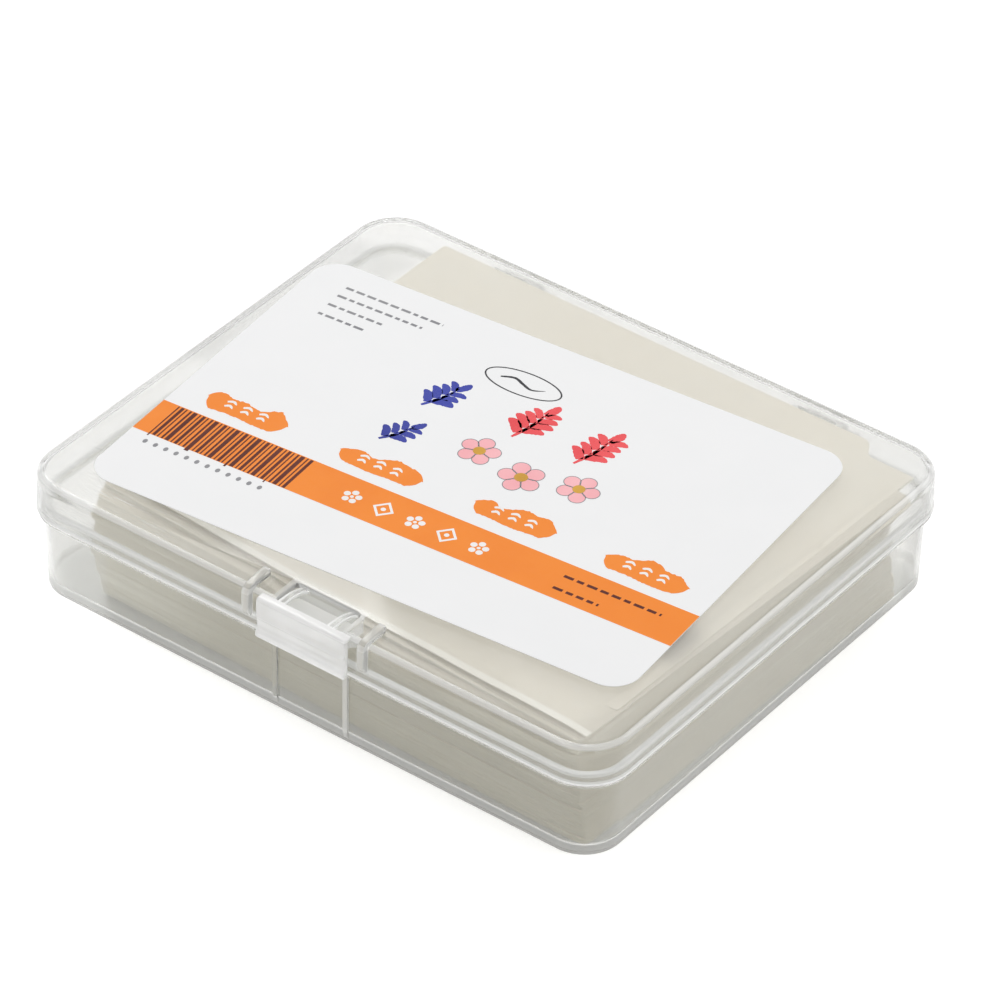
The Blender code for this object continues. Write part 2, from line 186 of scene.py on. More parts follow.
def clear_plastic(name, tint, haze_tint, rough, transmission, milk=0.06, bands=(), blocks=(), outline=None, marks=0.0,
                  painted_shade_blocks=(), seed=0.0):
    """Clear polypropylene: it bends light and is slightly milky, more so where it is thick or bent.

    bands are (z low, z high, soft, most inset, amount) and blocks (x0, x1, y0, y1, z0, z1, soft, amount), in mm, where
    the plastic is made whiter: partly its milkiness, mostly painted highlight on edges, rims and outlines;
    deeper takes the same figures as blocks, for places where a stronger tint is painted shade."""
    g = Graph(name)
    place = g.mm()
    mm = g.mapped(place, location=(seed, seed * 0.7, seed * 0.3))
    cloud = g.noise(mm, 0.06, 3.0, 0.55)
    fine = g.noise(mm, 0.9, 4.0, 0.6)
    lines = None
    for turn, length, width, cut in ((24, 0.10, 5.5, 0.66), (-38, 0.13, 7.0, 0.70), (71, 0.08, 6.0, 0.71)):
        strip = g.noise(g.mapped(mm, scale=(length, width, width), rotation=(0, 0, turn)), 1.0, 1.0, 0.4)
        strip = g.steps(strip, cut, cut + 0.045)
        lines = strip if lines is None else g.math("MAXIMUM", lines, strip)
    handled = g.math("MULTIPLY", g.between(g.axis(place, "X"), -38.0, -26.0, 9.0), g.between(g.axis(place, "Y"), -36.0, -27.0, 6.0))
    handled = g.math("MAXIMUM", handled, g.steps(g.noise(g.mapped(mm, location=(31, 7, 3)), 0.07, 2.0), 0.6, 0.75, 0.0, 0.3))
    lines = g.math("MULTIPLY", g.math("MULTIPLY", lines, handled), marks)
    milk_wear_and_painted_highlight = g.steps(cloud, 0.3, 0.7, milk * 0.6, milk * 1.4)
    height = g.axis(place, "Z")
    depth = g.inset(place, *outline) if outline else None
    # bands and blocks raise the milk: some real haze, mostly painted highlight on edges, rims and outlines
    for low, high, soft, most, amount in bands:
        band = g.math("MULTIPLY", g.between(height, low, high, soft), amount)
        if depth is not None and most is not None:
            band = g.math("MULTIPLY", band, g.steps(depth, most, most + soft, 1.0, 0.0))
        milk_wear_and_painted_highlight = g.math("MAXIMUM", milk_wear_and_painted_highlight, band)
    for x0, x1, y0, y1, z0, z1, soft, amount in blocks:
        area = g.math("MULTIPLY", g.between(g.axis(place, "X"), x0, x1, soft), g.between(g.axis(place, "Y"), y0, y1, soft))
        area = g.math("MULTIPLY", area, g.between(height, z0, z1, soft))
        milk_wear_and_painted_highlight = g.math("MAXIMUM", milk_wear_and_painted_highlight, g.math("MULTIPLY", area, amount))
    milk_wear_and_painted_highlight = g.math("MINIMUM", g.math("ADD", milk_wear_and_painted_highlight, g.math("MULTIPLY", lines, 0.35)), 0.95)
    shader = g.node("ShaderNodeBsdfPrincipled")
    colour = g.mix(g.steps(cloud, 0.35, 0.68), tint, haze_tint)
    # a stronger tint over these blocks darkens the plastic there: painted shade
    for x0, x1, y0, y1, z0, z1, soft, amount in painted_shade_blocks:
        area = g.math("MULTIPLY", g.between(g.axis(place, "X"), x0, x1, soft), g.between(g.axis(place, "Y"), y0, y1, soft))
        area = g.math("MULTIPLY", area, g.between(height, z0, z1, soft))
        colour = g.mix(g.math("MULTIPLY", area, amount), colour, tuple(0.72 * c for c in tint))
    g.link(colour, shader.inputs["Base Color"])
    g.link(g.math("ADD", g.steps(cloud, 0.3, 0.7, rough * 0.85, rough * 1.15), g.math("MULTIPLY", lines, 0.1)),
           shader.inputs["Roughness"])
    relief = g.math("ADD", g.math("MULTIPLY", fine, 0.25), g.math("MULTIPLY", g.noise(mm, 0.22, 2.0), 1.2))
    relief = g.math("SUBTRACT", relief, g.math("MULTIPLY", lines, 0.6))
    g.link(g.bump(relief, 0.12, 0.03), shader.inputs["Normal"])
    shader.inputs["IOR"].default_value = 1.49
    g.link(g.math("MULTIPLY", g.math("SUBTRACT", 1.0, milk_wear_and_painted_highlight), transmission), shader.inputs["Transmission Weight"])
    passing = g.node("ShaderNodeBsdfTransparent")
    passing.inputs["Color"].default_value = (0.94, 0.945, 0.94, 1.0)
    path = g.node("ShaderNodeLightPath")
    for_bounce = g.node("ShaderNodeMixShader")
    g.link(path.outputs["Is Diffuse Ray"], for_bounce.inputs[0])
    g.link(shader.outputs[0], for_bounce.inputs[1])
    g.link(passing.outputs[0], for_bounce.inputs[2])
    for_lamp = g.node("ShaderNodeMixShader")
    g.link(path.outputs["Is Shadow Ray"], for_lamp.inputs[0])
    g.link(for_bounce.outputs[0], for_lamp.inputs[1])
    g.link(passing.outputs[0], for_lamp.inputs[2])
    g.link(for_lamp.outputs[0], g.out.inputs[0])
    return g.mat


def paper_sheet(name, light, warm, edge, edge_deep, painted_glow, ridge=None):
    """Matt starch sheets: cream, faintly mottled and embossed on the flat, grained along the cut edges.

    ridge is (turn, offset, width, colour, right edge, its colour): a paler strip where the front edge curls up, which
    is painted highlight, and a darker tone along the right edge, which is painted shade."""
    g = Graph(name)
    mm = g.mm()
    mottle = g.noise(mm, 0.045, 4.0, 0.6, 0.4)
    fleck = g.noise(mm, 0.55, 5.0, 0.65)
    face = g.mix(g.steps(mottle, 0.32, 0.7), light, warm)
    face = g.mix(g.steps(fleck, 0.52, 0.78, 0.0, 0.22), face, (0.86, 0.84, 0.78))
    layers = g.noise(g.mapped(mm, scale=(0.05, 0.05, 5.5)), 1.0, 4.0, 0.6)
    broad = g.noise(g.mapped(mm, scale=(0.06, 0.06, 0.35), location=(5, 2, 8)), 1.0, 3.0, 0.55)
    side = g.mix(g.steps(broad, 0.3, 0.7), edge, edge_deep)
    side = g.mix(g.steps(layers, 0.42, 0.75, 0.0, 0.3), side, edge_deep)
    # near its ends the pile's sides are mixed towards a paler colour: painted light, for light that the translucent
    # sheets let in there
    loose = g.steps(g.axis(mm, "X"), -37.0, 4.0, 1.0, 0.0)
    side = g.mix(g.math("MULTIPLY", g.math("MULTIPLY", loose, loose), 0.95), side, painted_glow)
    # its uppermost sheets towards the right get the same painted light
    painted_light_right = g.math("MULTIPLY", g.steps(g.axis(mm, "X"), 15.0, 24.0), g.steps(g.axis(mm, "Z"), 12.0, 14.0))
    side = g.mix(g.math("MULTIPLY", painted_light_right, 0.6), side, painted_glow)
    geometry = g.node("ShaderNodeNewGeometry")
    upright = g.math("ABSOLUTE", g.axis(geometry.outputs["Normal"], "Z"))
    sideways = g.math("ABSOLUTE", g.axis(geometry.outputs["Normal"], "X"))
    # sides that face along x are painted a little lighter: painted light
    side = g.mix(g.steps(sideways, 0.4, 0.8, 0.0, 0.06), side, (1.0, 0.98, 0.95))
    # cut edges take far darker colours than the faces: partly their own tone, partly painted shade of the pile's sides
    # and the gaps between sheets
    colour = g.mix(g.steps(upright, 0.35, 0.75), side, face)
    if ridge is not None:
        turned = g.mapped(mm, rotation=(0, 0, ridge[0]))
        # its right side bends down a little, and the wall's shade on it is painted in
        shade = g.steps(g.axis(turned, "X"), ridge[4] - 4.0, ridge[4], 0.0, 0.75)
        colour = g.mix(shade, colour, ridge[5])
        # a painted highlight where the front edge curls up
        painted_curl_highlight = g.steps(g.axis(turned, "Y"), ridge[1] - ridge[2], ridge[1], 1.0, 0.0)
        colour = g.mix(g.math("MULTIPLY", painted_curl_highlight, g.steps(mottle, 0.25, 0.6, 0.75, 1.0)), colour, ridge[3])
    shader = g.node("ShaderNodeBsdfPrincipled")
    g.link(colour, shader.inputs["Base Color"])
    g.link(g.steps(fleck, 0.3, 0.75, 0.55, 0.75), shader.inputs["Roughness"])
    shader.inputs["IOR"].default_value = 1.42
    shader.inputs["Sheen Weight"].default_value = 0.08
    relief = g.math("ADD", g.math("MULTIPLY", fleck, 0.5), g.noise(mm, 0.16, 3.0))
    g.link(g.bump(relief, 0.14, 0.05), shader.inputs["Normal"])
    g.link(shader.outputs[0], g.out.inputs[0])
    return g.mat


def ink(name, colour, shade, rough=0.42, grain=0.9, bump=0.12, sheer=0.0):
    """A printed or coated paper surface: two close tones, paper grain and uneven gloss. Sheer paper lets some light through."""
    g = Graph(name)
    mm = g.mm()
    soft = g.noise(mm, 0.12, 3.0, 0.5)
    fibre = g.noise(g.mapped(mm, scale=(1.0, 1.6, 1.0), rotation=(0, 0, 14)), grain, 5.0, 0.65)
    tone = g.mix(g.steps(soft, 0.3, 0.7), colour, shade)
    tone = g.mix(g.steps(fibre, 0.6, 0.85, 0.0, 0.25), tone, shade)
    shader = g.node("ShaderNodeBsdfPrincipled")
    g.link(tone, shader.inputs["Base Color"])
    g.link(g.steps(fibre, 0.3, 0.75, rough, rough + 0.12), shader.inputs["Roughness"])
    shader.inputs["IOR"].default_value = 1.46
    shader.inputs["Specular IOR Level"].default_value = 0.22
    g.link(g.bump(fibre, bump, 0.02), shader.inputs["Normal"])
    if sheer <= 0.0:
        g.link(shader.outputs[0], g.out.inputs[0])
        return g.mat
    passing = g.node("ShaderNodeBsdfTransparent")
    thin = g.node("ShaderNodeMixShader")
    thin.inputs[0].default_value = sheer
    g.link(shader.outputs[0], thin.inputs[1])
    g.link(passing.outputs[0], thin.inputs[2])
    path = g.node("ShaderNodeLightPath")
    for_lamp = g.node("ShaderNodeMixShader")
    g.link(path.outputs["Is Shadow Ray"], for_lamp.inputs[0])
    g.link(shader.outputs[0], for_lamp.inputs[1])
    g.link(thin.outputs[0], for_lamp.inputs[2])
    for_bounce = g.node("ShaderNodeMixShader")
    g.link(path.outputs["Is Diffuse Ray"], for_bounce.inputs[0])
    g.link(for_lamp.outputs[0], for_bounce.inputs[1])
    g.link(thin.outputs[0], for_bounce.inputs[2])
    g.link(for_bounce.outputs[0], g.out.inputs[0])
    return g.mat


# ---------------------------------------------------------------- mesh helpers


def make(bm, name, mats, angle=None):
    """Turn a bmesh in millimetres into a named object in metres."""
    bmesh.ops.scale(bm, vec=(MM, MM, MM), verts=bm.verts)
    bmesh.ops.recalc_face_normals(bm, faces=bm.faces)
    mesh = bpy.data.meshes.new(name)
    bm.to_mesh(mesh)
    bm.free()
    obj = bpy.data.objects.new(name, mesh)
    for mat in mats:
        mesh.materials.append(mat)
    scene.collection.objects.link(obj)
    if angle is not None:
        mesh.shade_smooth()
        mesh.set_sharp_from_angle(angle=math.radians(angle))
    return obj


def ring(half_x, half_y, radius, z, segs=14, centre=(0.0, 0.0)):
    """A rounded rectangle, counter-clockwise from above."""
    radius = max(radius, 0.02)
    points = []
    for sx, sy, start in ((1, 1, 0), (-1, 1, 90), (-1, -1, 180), (1, -1, 270)):
        for i in range(segs + 1):
            a = math.radians(start + 90.0 * i / segs)
            points.append((centre[0] + sx * (half_x - radius) + radius * math.cos(a),
                           centre[1] + sy * (half_y - radius) + radius * math.sin(a), z))
    return points


def loft(bm, loops, cap_first=True, cap_last=True):
    rows = [[bm.verts.new(p) for p in loop] for loop in loops]
    for a, b in zip(rows, rows[1:]):
        for i in range(len(a)):
            j = (i + 1) % len(a)
            bm.faces.new((a[i], a[j], b[j], b[i]))
    if cap_first:
        bm.faces.new(rows[0][::-1])
    if cap_last:
        bm.faces.new(rows[-1])
    return rows


def arc(centre, radius, start, end, count):
    return [(centre[0] + radius * math.cos(math.radians(start + (end - start) * i / count)),
             centre[1] + radius * math.sin(math.radians(start + (end - start) * i / count)))
            for i in range(count + 1)]


def section(outline, x0, x1, edge=0.0, segs=2):
    """A closed outline in (y, z), extruded from x0 to x1, its end edges rounded."""
    bm = bmesh.new()
    first = [bm.verts.new((x0, y, z)) for y, z in outline]
    last = [bm.verts.new((x1, y, z)) for y, z in outline]
    ends = [bm.faces.new(first[::-1]), bm.faces.new(last)]
    for i in range(len(outline)):
        j = (i + 1) % len(outline)
        bm.faces.new((first[i], first[j], last[j], last[i]))
    bmesh.ops.recalc_face_normals(bm, faces=bm.faces)
    if edge > 0.0:
        rim = [e for face in ends for e in face.edges]
        bmesh.ops.bevel(bm, geom=rim, offset=edge, offset_type="OFFSET", segments=segs, profile=0.5,
                        affect="EDGES", clamp_overlap=True)
    return bm


def rod(yz, radius, x0, x1, sides=40):
    bm = bmesh.new()
    bmesh.ops.create_cone(bm, cap_ends=True, segments=sides, radius1=radius, radius2=radius, depth=x1 - x0,
                          matrix=Matrix.Translation(((x0 + x1) / 2, *yz)) @ Matrix.Rotation(math.pi / 2, 4, "Y"))
    return bm


def carve(obj, steps):
    """Run Boolean steps on obj, each a (bmesh, operation), and keep the result as its mesh."""
    helpers = []
    for index, (bm, operation) in enumerate(steps):
        helper = make(bm, "%s_step_%d" % (obj.name, index), [])
        helpers.append(helper)
        mod = obj.modifiers.new("step", "BOOLEAN")
        mod.operation, mod.solver, mod.object = operation, "EXACT", helper
    bpy.context.view_layer.update()
    graph = bpy.context.evaluated_depsgraph_get()
    done = bpy.data.meshes.new_from_object(obj.evaluated_get(graph))
    old = obj.data
    obj.modifiers.clear()
    done.name = obj.name
    obj.data = done
    bpy.data.meshes.remove(old)
    for helper in helpers:
        mesh = helper.data
        bpy.data.objects.remove(helper)
        bpy.data.meshes.remove(mesh)


def weld(obj, distance=2e-7, angle=32.0):
    bm = bmesh.new()
    bm.from_mesh(obj.data)
    bmesh.ops.remove_doubles(bm, verts=bm.verts, dist=distance)
    bmesh.ops.dissolve_degenerate(bm, edges=bm.edges, dist=distance)
    bm.to_mesh(obj.data)
    bm.free()
    obj.data.shade_smooth()
    obj.data.set_sharp_from_angle(angle=math.radians(angle))


# ---------------------------------------------------------------- dimensions (mm)
BASE_HALF_FOOT, BASE_HALF_RIM, BASE_RIM_Z = (45.50, 37.75), (45.70, 37.90), 13.5
BASE_CORNER_R, BASE_FOOT_R, BASE_WALL, BASE_FLOOR = 5.6, 0.4, 0.85, 1.0
LEDGE_PROUD, LEDGE_Z, LEDGE_FOOT_Z = 0.9, 11.97, 10.9
RIB_SPREAD, RIB_WIDTH, RIB_PROUD = 5.65, 0.75, 0.35
LID_HALF_EDGE, LID_HALF_TOP, LID_EDGE_Z, LID_TOP_Z = (46.70, 38.95), (46.50, 38.75), 12.2, 18.2
LID_CORNER_R, LID_TOP_R, LID_WALL, LID_PLATE = 6.6, 1.0, 0.65, 1.0
LID_INNER_R, CURTAIN_Z = 0.8, 15.2
CLASP_X, NOTCH_HALF, NOTCH_BACK_Y = 1.2, 5.2, -34.1
EAR_SPREAD, EAR_THICK, FLAP_HALF = 9.2, 1.1, 7.1
STRAP_SPREAD, STRAP_WIDTH, STRAP_THICK = 3.9, 1.15, 0.4
LATCH_AXIS_YZ = (-34.9, 17.5)
HINGE_YZ, HINGE_SPREAD, PIN_R, BORE_R = (40.6, 12.0), 25.0, 0.75, 1.05
KNUCKLE_R, KNUCKLE_WIDTH, LUG_R, LUG_WIDTH, HINGE_GAP = 1.75, 6.0, 1.3, 1.8, 0.35
PAPER, PAPER_Z = (79.0, 65.0), (BASE_FLOOR + 0.02, 16.0)
# how the pile leans: height, centre x, centre y, turn in degrees
PILE = ((1.0, 3.85, -2.2, -1.2), (3.0, 3.7, -2.4, -1.2), (5.5, 3.4, -2.7, -1.0), (8.0, 3.1, -2.9, -0.9),
        (10.5, 3.0, -2.8, -1.0), (12.5, 2.9, -2.4, -1.3), (14.3, 2.6, -1.5, -2.0), (14.65, 2.6, -0.35, -2.6),
        (15.2, 2.8, -0.35, -2.6), (15.4, 3.4, 0.4, -2.9), (16.0, 3.4, 0.4, -2.9))
SLID, SLID_Z = (3.4, 5.05, -0.25), (15.45, 15.86)
LABEL, LABEL_CENTRE, LABEL_TURN, LABEL_CORNER_R = (81.4, 57.2), (-1.8, -1.5), 4.9, 4.0

# ---------------------------------------------------------------- materials
TRAY_LINE, LID_LINE = (45.6, 37.85, 5.6), (46.6, 38.85, 6.6)
HINGE_BLOCKS = [(side * HINGE_SPREAD - 4.6, side * HINGE_SPREAD + 4.6, 38.3, 43.0, 9.8, 14.6, 0.3, 0.45) for side in (-1, 1)]
# the tray's bands whiten its foot, floor edge, rim and ledge: partly milk, partly painted highlight and reflection
TRAY_OUT = clear_plastic("tray_plastic", (0.84, 0.838, 0.825), (0.82, 0.818, 0.80), 0.10, 0.97, 0.055,
                         bands=((-0.2, 0.6, 0.2, None, 0.34), (0.85, 1.9, 0.3, None, 0.42), (13.05, 14.0, 0.2, None, 0.7),
                                (11.6, 12.1, 0.15, 0.15, 0.22)),
                         # the right rib's block, much whiter than the left's, is a painted highlight; the two ribs are
                         # alike
                         blocks=[(CLASP_X - RIB_SPREAD - 0.4, CLASP_X - RIB_SPREAD + 0.4, -38.7, -37.8, 0.9, 11.7, 0.06, 0.12),
                                 (CLASP_X + RIB_SPREAD - 0.4, CLASP_X + RIB_SPREAD + 0.4, -38.7, -37.8, 0.9, 11.7, 0.06, 0.5),
                                 (-48.0, -33.0, -40.0, -37.0, 1.5, 11.5, 1.5, 0.2), *HINGE_BLOCKS],
                         # a darker tint at the back right corner: painted shade
                         painted_shade_blocks=[(42.0, 48.0, 30.5, 40.0, 1.0, 12.0, 2.0, 0.8)],
                         outline=TRAY_LINE, seed=3.0)
TRAY_IN = clear_plastic("tray_plastic_inside", (0.84, 0.838, 0.825), (0.82, 0.818, 0.80), 0.13, 0.975, 0.045,
                        bands=((13.05, 14.0, 0.2, None, 0.7),), seed=9.0)
# the ears are made milky, and their tops, the notch's lip and the notch's sides are whitened as painted highlights
CLASP_BLOCKS = [(CLASP_X + side * EAR_SPREAD - 0.62, CLASP_X + side * EAR_SPREAD + 0.62, -39.9, -34.9, 13.9, 17.9, 0.08, 0.42)
                for side in (-1, 1)]
CLASP_BLOCKS += [(CLASP_X + side * EAR_SPREAD - 0.62, CLASP_X + side * EAR_SPREAD + 0.62, -39.9, -34.9, 18.6, 19.5, 0.25, 0.3)
                 for side in (-1, 1)]
CLASP_BLOCKS += [(CLASP_X - NOTCH_HALF - 0.7, CLASP_X + NOTCH_HALF + 0.7, NOTCH_BACK_Y - 0.05, NOTCH_BACK_Y + 0.55, 17.6, 18.4, 0.12, 0.4)]
CLASP_BLOCKS += [(CLASP_X + side * (NOTCH_HALF + 0.32) - 0.34, CLASP_X + side * (NOTCH_HALF + 0.32) + 0.34, -39.0, NOTCH_BACK_Y, 17.4, 18.4, 0.1, 0.35)
                 for side in (-1, 1)]
# the lid's bands whiten its top edge and skirt edge: partly milk, partly painted highlight
LID_OUT = clear_plastic("lid_plastic", (0.895, 0.893, 0.885), (0.875, 0.875, 0.865), 0.09, 0.98, 0.062,
                        bands=((17.8, 18.4, 0.35, 0.7, 0.55), (12.0, 12.55, 0.25, None, 0.8)),
                        blocks=CLASP_BLOCKS + HINGE_BLOCKS,
                        # a darker tint along the left top edge: painted shade
                        painted_shade_blocks=[(-45.5, -37.0, -4.0, 28.0, 17.5, 18.6, 3.0, 0.55)],
                        outline=LID_LINE, marks=1.0, seed=17.0)
LID_IN = clear_plastic("lid_plastic_inside", (0.895, 0.893, 0.885), (0.875, 0.875, 0.865), 0.13, 0.98, 0.035,
                       bands=((12.0, 12.55, 0.25, None, 0.6),), seed=23.0)
CURTAIN_MAT = clear_plastic("lid_plastic_recess", (0.88, 0.878, 0.868), (0.86, 0.858, 0.848), 0.14, 0.80, 0.3, seed=29.0)
# the flap's bands whiten its top and bottom edges: partly milk, partly painted highlight
LATCH_MAT = clear_plastic("latch_plastic", (0.96, 0.955, 0.95), (0.945, 0.94, 0.935), 0.13, 0.88, 0.42,
                          bands=((18.1, 18.8, 0.12, None, 0.5), (12.0, 12.6, 0.12, None, 0.7)), seed=41.0)
# whiter strips along the straps' sides: painted highlights
STRAP_PAINTED_HIGHLIGHTS = [(CLASP_X + side * STRAP_SPREAD + reach - 0.13, CLASP_X + side * STRAP_SPREAD + reach + 0.13,
                -39.5, -33.5, 17.0, 19.5, 0.06, 0.6) for side in (-1, 1) for reach in (-0.5, 0.5)]
STRAP_MAT = clear_plastic("latch_strap_plastic", (0.93, 0.93, 0.925), (0.92, 0.92, 0.91), 0.12, 0.96, 0.06,
                          blocks=STRAP_PAINTED_HIGHLIGHTS, seed=47.0)
TOP_LIGHT, TOP_WARM = (0.795, 0.737, 0.617), (0.765, 0.703, 0.58)
# the sheets' olive edge colours, far darker than their cream faces, are partly their own tone and partly painted shade
PAPER_MAT = paper_sheet("rice_paper", TOP_LIGHT, TOP_WARM, (0.51, 0.482, 0.37), (0.447, 0.424, 0.315),
                        (0.87, 0.85, 0.74))
# the top sheet has a painted highlight on its curled front edge and painted shade along its right edge
TOP_MAT = paper_sheet("rice_paper_top", TOP_LIGHT, TOP_WARM, (0.80, 0.77, 0.67), (0.76, 0.73, 0.62), (0.80, 0.77, 0.67),
                      ridge=(-PILE[-1][3], PILE[-1][2] - PAPER[1] / 2 + 1.55, 0.5, (0.93, 0.895, 0.80),
                             PILE[-1][1] + PAPER[0] / 2, (0.62, 0.565, 0.46)))
# the core's tones are darker than the sheets': painted shade deep between them
CORE_MAT = paper_sheet("rice_paper_core", (0.70, 0.67, 0.57), (0.66, 0.63, 0.53), (0.45, 0.43, 0.36), (0.4, 0.38, 0.31),
                       (0.74, 0.73, 0.65))
LABEL_MAT = ink("label_white", (0.865, 0.865, 0.868), (0.855, 0.857, 0.860), 0.46, 0.8, 0.14, sheer=0.85)
ORANGE = ink("print_orange", (0.90, 0.262, 0.03), (0.88, 0.245, 0.027), 0.4)
BROWN = ink("print_brown", srgb(98, 40, 28), srgb(86, 34, 24), 0.4)
WHITE = ink("print_white", (0.88, 0.87, 0.86), (0.84, 0.82, 0.80), 0.42)
BLUE = ink("print_blue", srgb(62, 72, 168), srgb(52, 60, 148), 0.4)
RED = ink("print_red", srgb(238, 88, 92), srgb(228, 74, 80), 0.4)
PINK = ink("print_pink", srgb(248, 188, 192), srgb(243, 172, 178), 0.42)
GOLD = ink("print_gold", srgb(216, 168, 70), srgb(200, 150, 54), 0.42)
BLACK = ink("print_black", srgb(66, 66, 70), srgb(52, 52, 56), 0.42)
GREY = ink("print_grey", srgb(150, 150, 152), srgb(136, 136, 140), 0.44)

# ---------------------------------------------------------------- tray
tray_slope = [(r - f) / BASE_RIM_Z for r, f in zip(BASE_HALF_RIM, BASE_HALF_FOOT)]


def tray_ring(z, inset, radius=None):
    hx, hy = (f + s * z - inset for f, s in zip(BASE_HALF_FOOT, tray_slope))
    return ring(hx, hy, BASE_CORNER_R - inset if radius is None else radius, z)


loops = [tray_ring(0.0, BASE_FOOT_R + 0.25), tray_ring(0.0, BASE_FOOT_R)]
loops += [tray_ring(BASE_FOOT_R * (1 - math.cos(a)), BASE_FOOT_R * (1 - math.sin(a)))
          for a in (math.radians(90 * i / 9) for i in range(1, 10))]
loops += [tray_ring(z, inset, BASE_CORNER_R - inset) for z, inset in (
    (BASE_FOOT_R + 0.15, 0.0), (LEDGE_FOOT_Z - 0.2, 0.0), (LEDGE_FOOT_Z, -0.03), (LEDGE_FOOT_Z + 0.12, -0.12),
    (LEDGE_Z - 0.3, -LEDGE_PROUD + 0.12), (LEDGE_Z - 0.16, -LEDGE_PROUD + 0.02), (LEDGE_Z - 0.08, -LEDGE_PROUD),
    (LEDGE_Z - 0.02, -LEDGE_PROUD + 0.03), (LEDGE_Z, -LEDGE_PROUD + 0.10), (LEDGE_Z, -0.2), (LEDGE_Z + 0.02, -0.08),
    (LEDGE_Z + 0.1, 0.0), (LEDGE_Z + 0.3, 0.0))]
loops += [tray_ring(BASE_RIM_Z - 0.35, 0.0), tray_ring(BASE_RIM_Z - 0.22, 0.0)]
loops += [tray_ring(BASE_RIM_Z - 0.22 + 0.22 * math.sin(a), 0.22 * (1 - math.cos(a)))
          for a in (math.radians(90 * i / 4) for i in range(1, 5))]
loops += [tray_ring(BASE_RIM_Z - 0.22 + 0.22 * math.cos(a), BASE_WALL - 0.22 + 0.22 * math.sin(a))
          for a in (math.radians(90 * i / 4) for i in range(0, 5))]
loops += [tray_ring(BASE_RIM_Z - 0.35, BASE_WALL), tray_ring(BASE_FLOOR + 0.95, BASE_WALL)]
loops += [tray_ring(BASE_FLOOR + 0.8 * (1 - math.sin(a)), BASE_WALL + 0.8 * (1 - math.cos(a)))
          for a in (math.radians(90 * i / 7) for i in range(0, 8))]
loops += [tray_ring(BASE_FLOOR, BASE_WALL + 1.05)]
bm = bmesh.new()
loft(bm, loops)
tray = make(bm, "tray_shell", [TRAY_OUT, TRAY_IN])

steps = []
# two upright ribs below the latch
front = BASE_HALF_FOOT[1]
for side in (-1, 1):
    x = CLASP_X + side * RIB_SPREAD
    rib = [(-37.3, 0.9), (-37.3, 11.6), (-front - RIB_PROUD - 0.12, 11.5), (-front - RIB_PROUD - 0.08, 8.0),
           (-front - RIB_PROUD, 2.0), (-front - 0.1, 0.95)]
    steps.append((section(rib, x - RIB_WIDTH / 2, x + RIB_WIDTH / 2, 0.08), "UNION"))
# the ledge stops short of the hinge knuckles
for side in (-1, 1):
    cx = side * HINGE_SPREAD
    gap = KNUCKLE_WIDTH / 2 + HINGE_GAP
    cut = [(38.02, 10.4), (39.8, 10.4), (39.8, 12.6), (38.02, 12.6)]
    steps.append((section(cut, cx - gap, cx + gap), "DIFFERENCE"))
hy, hz = HINGE_YZ
for side in (-1, 1):
    cx = side * HINGE_SPREAD
    lug = [(37.5, 9.2), (37.5, 11.75), (39.6, 11.75)] + arc((hy, hz), LUG_R, 168, -72, 26)
    for step in (-1, 1):
        near = cx + step * (KNUCKLE_WIDTH / 2 + HINGE_GAP)
        far = near + step * LUG_WIDTH
        steps.append((section(lug, min(near, far), max(near, far), 0.15), "UNION"))
    reach = KNUCKLE_WIDTH / 2 + HINGE_GAP + LUG_WIDTH / 2
    steps.append((rod((hy, hz), PIN_R, cx - reach, cx + reach), "UNION"))
carve(tray, steps)
weld(tray)
for face in tray.data.polygons:
    c, n = face.center / MM, face.normal
    floor_top = n.z > 0.3 and c.z < BASE_FLOOR + 1.0
    wall_in = abs(c.x) < 45.3 and abs(c.y) < 37.5 and n.x * c.x + n.y * c.y < -1e-3 and c.z > 0.9
    face.material_index = 1 if floor_top or wall_in else 0
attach(tray, "base")
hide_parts("box_base")

# ---------------------------------------------------------------- lid
lid_rise = LID_TOP_Z - LID_EDGE_Z
lid_slope = [(t - e) / lid_rise for e, t in zip(LID_HALF_EDGE, LID_HALF_TOP)]


def lid_ring(z, inset):
    hx, hy = (e + s * (z - LID_EDGE_Z) - inset for e, s in zip(LID_HALF_EDGE, lid_slope))
    return ring(hx, hy, LID_CORNER_R - inset, z, 16)


under_z = LID_TOP_Z - LID_PLATE
loops = [lid_ring(under_z, LID_WALL + LID_INNER_R + 0.3), lid_ring(under_z, LID_WALL + LID_INNER_R)]
loops += [lid_ring(under_z - LID_INNER_R * (1 - math.cos(a)), LID_WALL + LID_INNER_R * (1 - math.sin(a)))
          for a in (math.radians(90 * i / 12) for i in range(1, 13))]
loops += [lid_ring(under_z - LID_INNER_R - 0.2, LID_WALL), lid_ring(LID_EDGE_Z + 0.35, LID_WALL)]
EDGE_R = 0.2
loops += [lid_ring(LID_EDGE_Z + EDGE_R * (1 - math.sin(a)), LID_WALL - EDGE_R * (1 - math.cos(a)))
          for a in (math.radians(90 * i / 4) for i in range(0, 5))]
loops += [lid_ring(LID_EDGE_Z + EDGE_R * (1 - math.cos(a)), EDGE_R * (1 - math.sin(a)))
          for a in (math.radians(90 * i / 4) for i in range(0, 5))]
loops += [lid_ring(LID_EDGE_Z + 0.35, 0.0), lid_ring(LID_TOP_Z - LID_TOP_R - 0.15, 0.0)]
loops += [lid_ring(LID_TOP_Z - LID_TOP_R * (1 - math.sin(a)), LID_TOP_R * (1 - math.cos(a)))
          for a in (math.radians(90 * i / 10) for i in range(0, 11))]
loops += [lid_ring(LID_TOP_Z, LID_TOP_R + 0.25)]
bm = bmesh.new()
loft(bm, loops)
lid = make(bm, "lid_shell", [LID_OUT, LID_IN, CURTAIN_MAT])

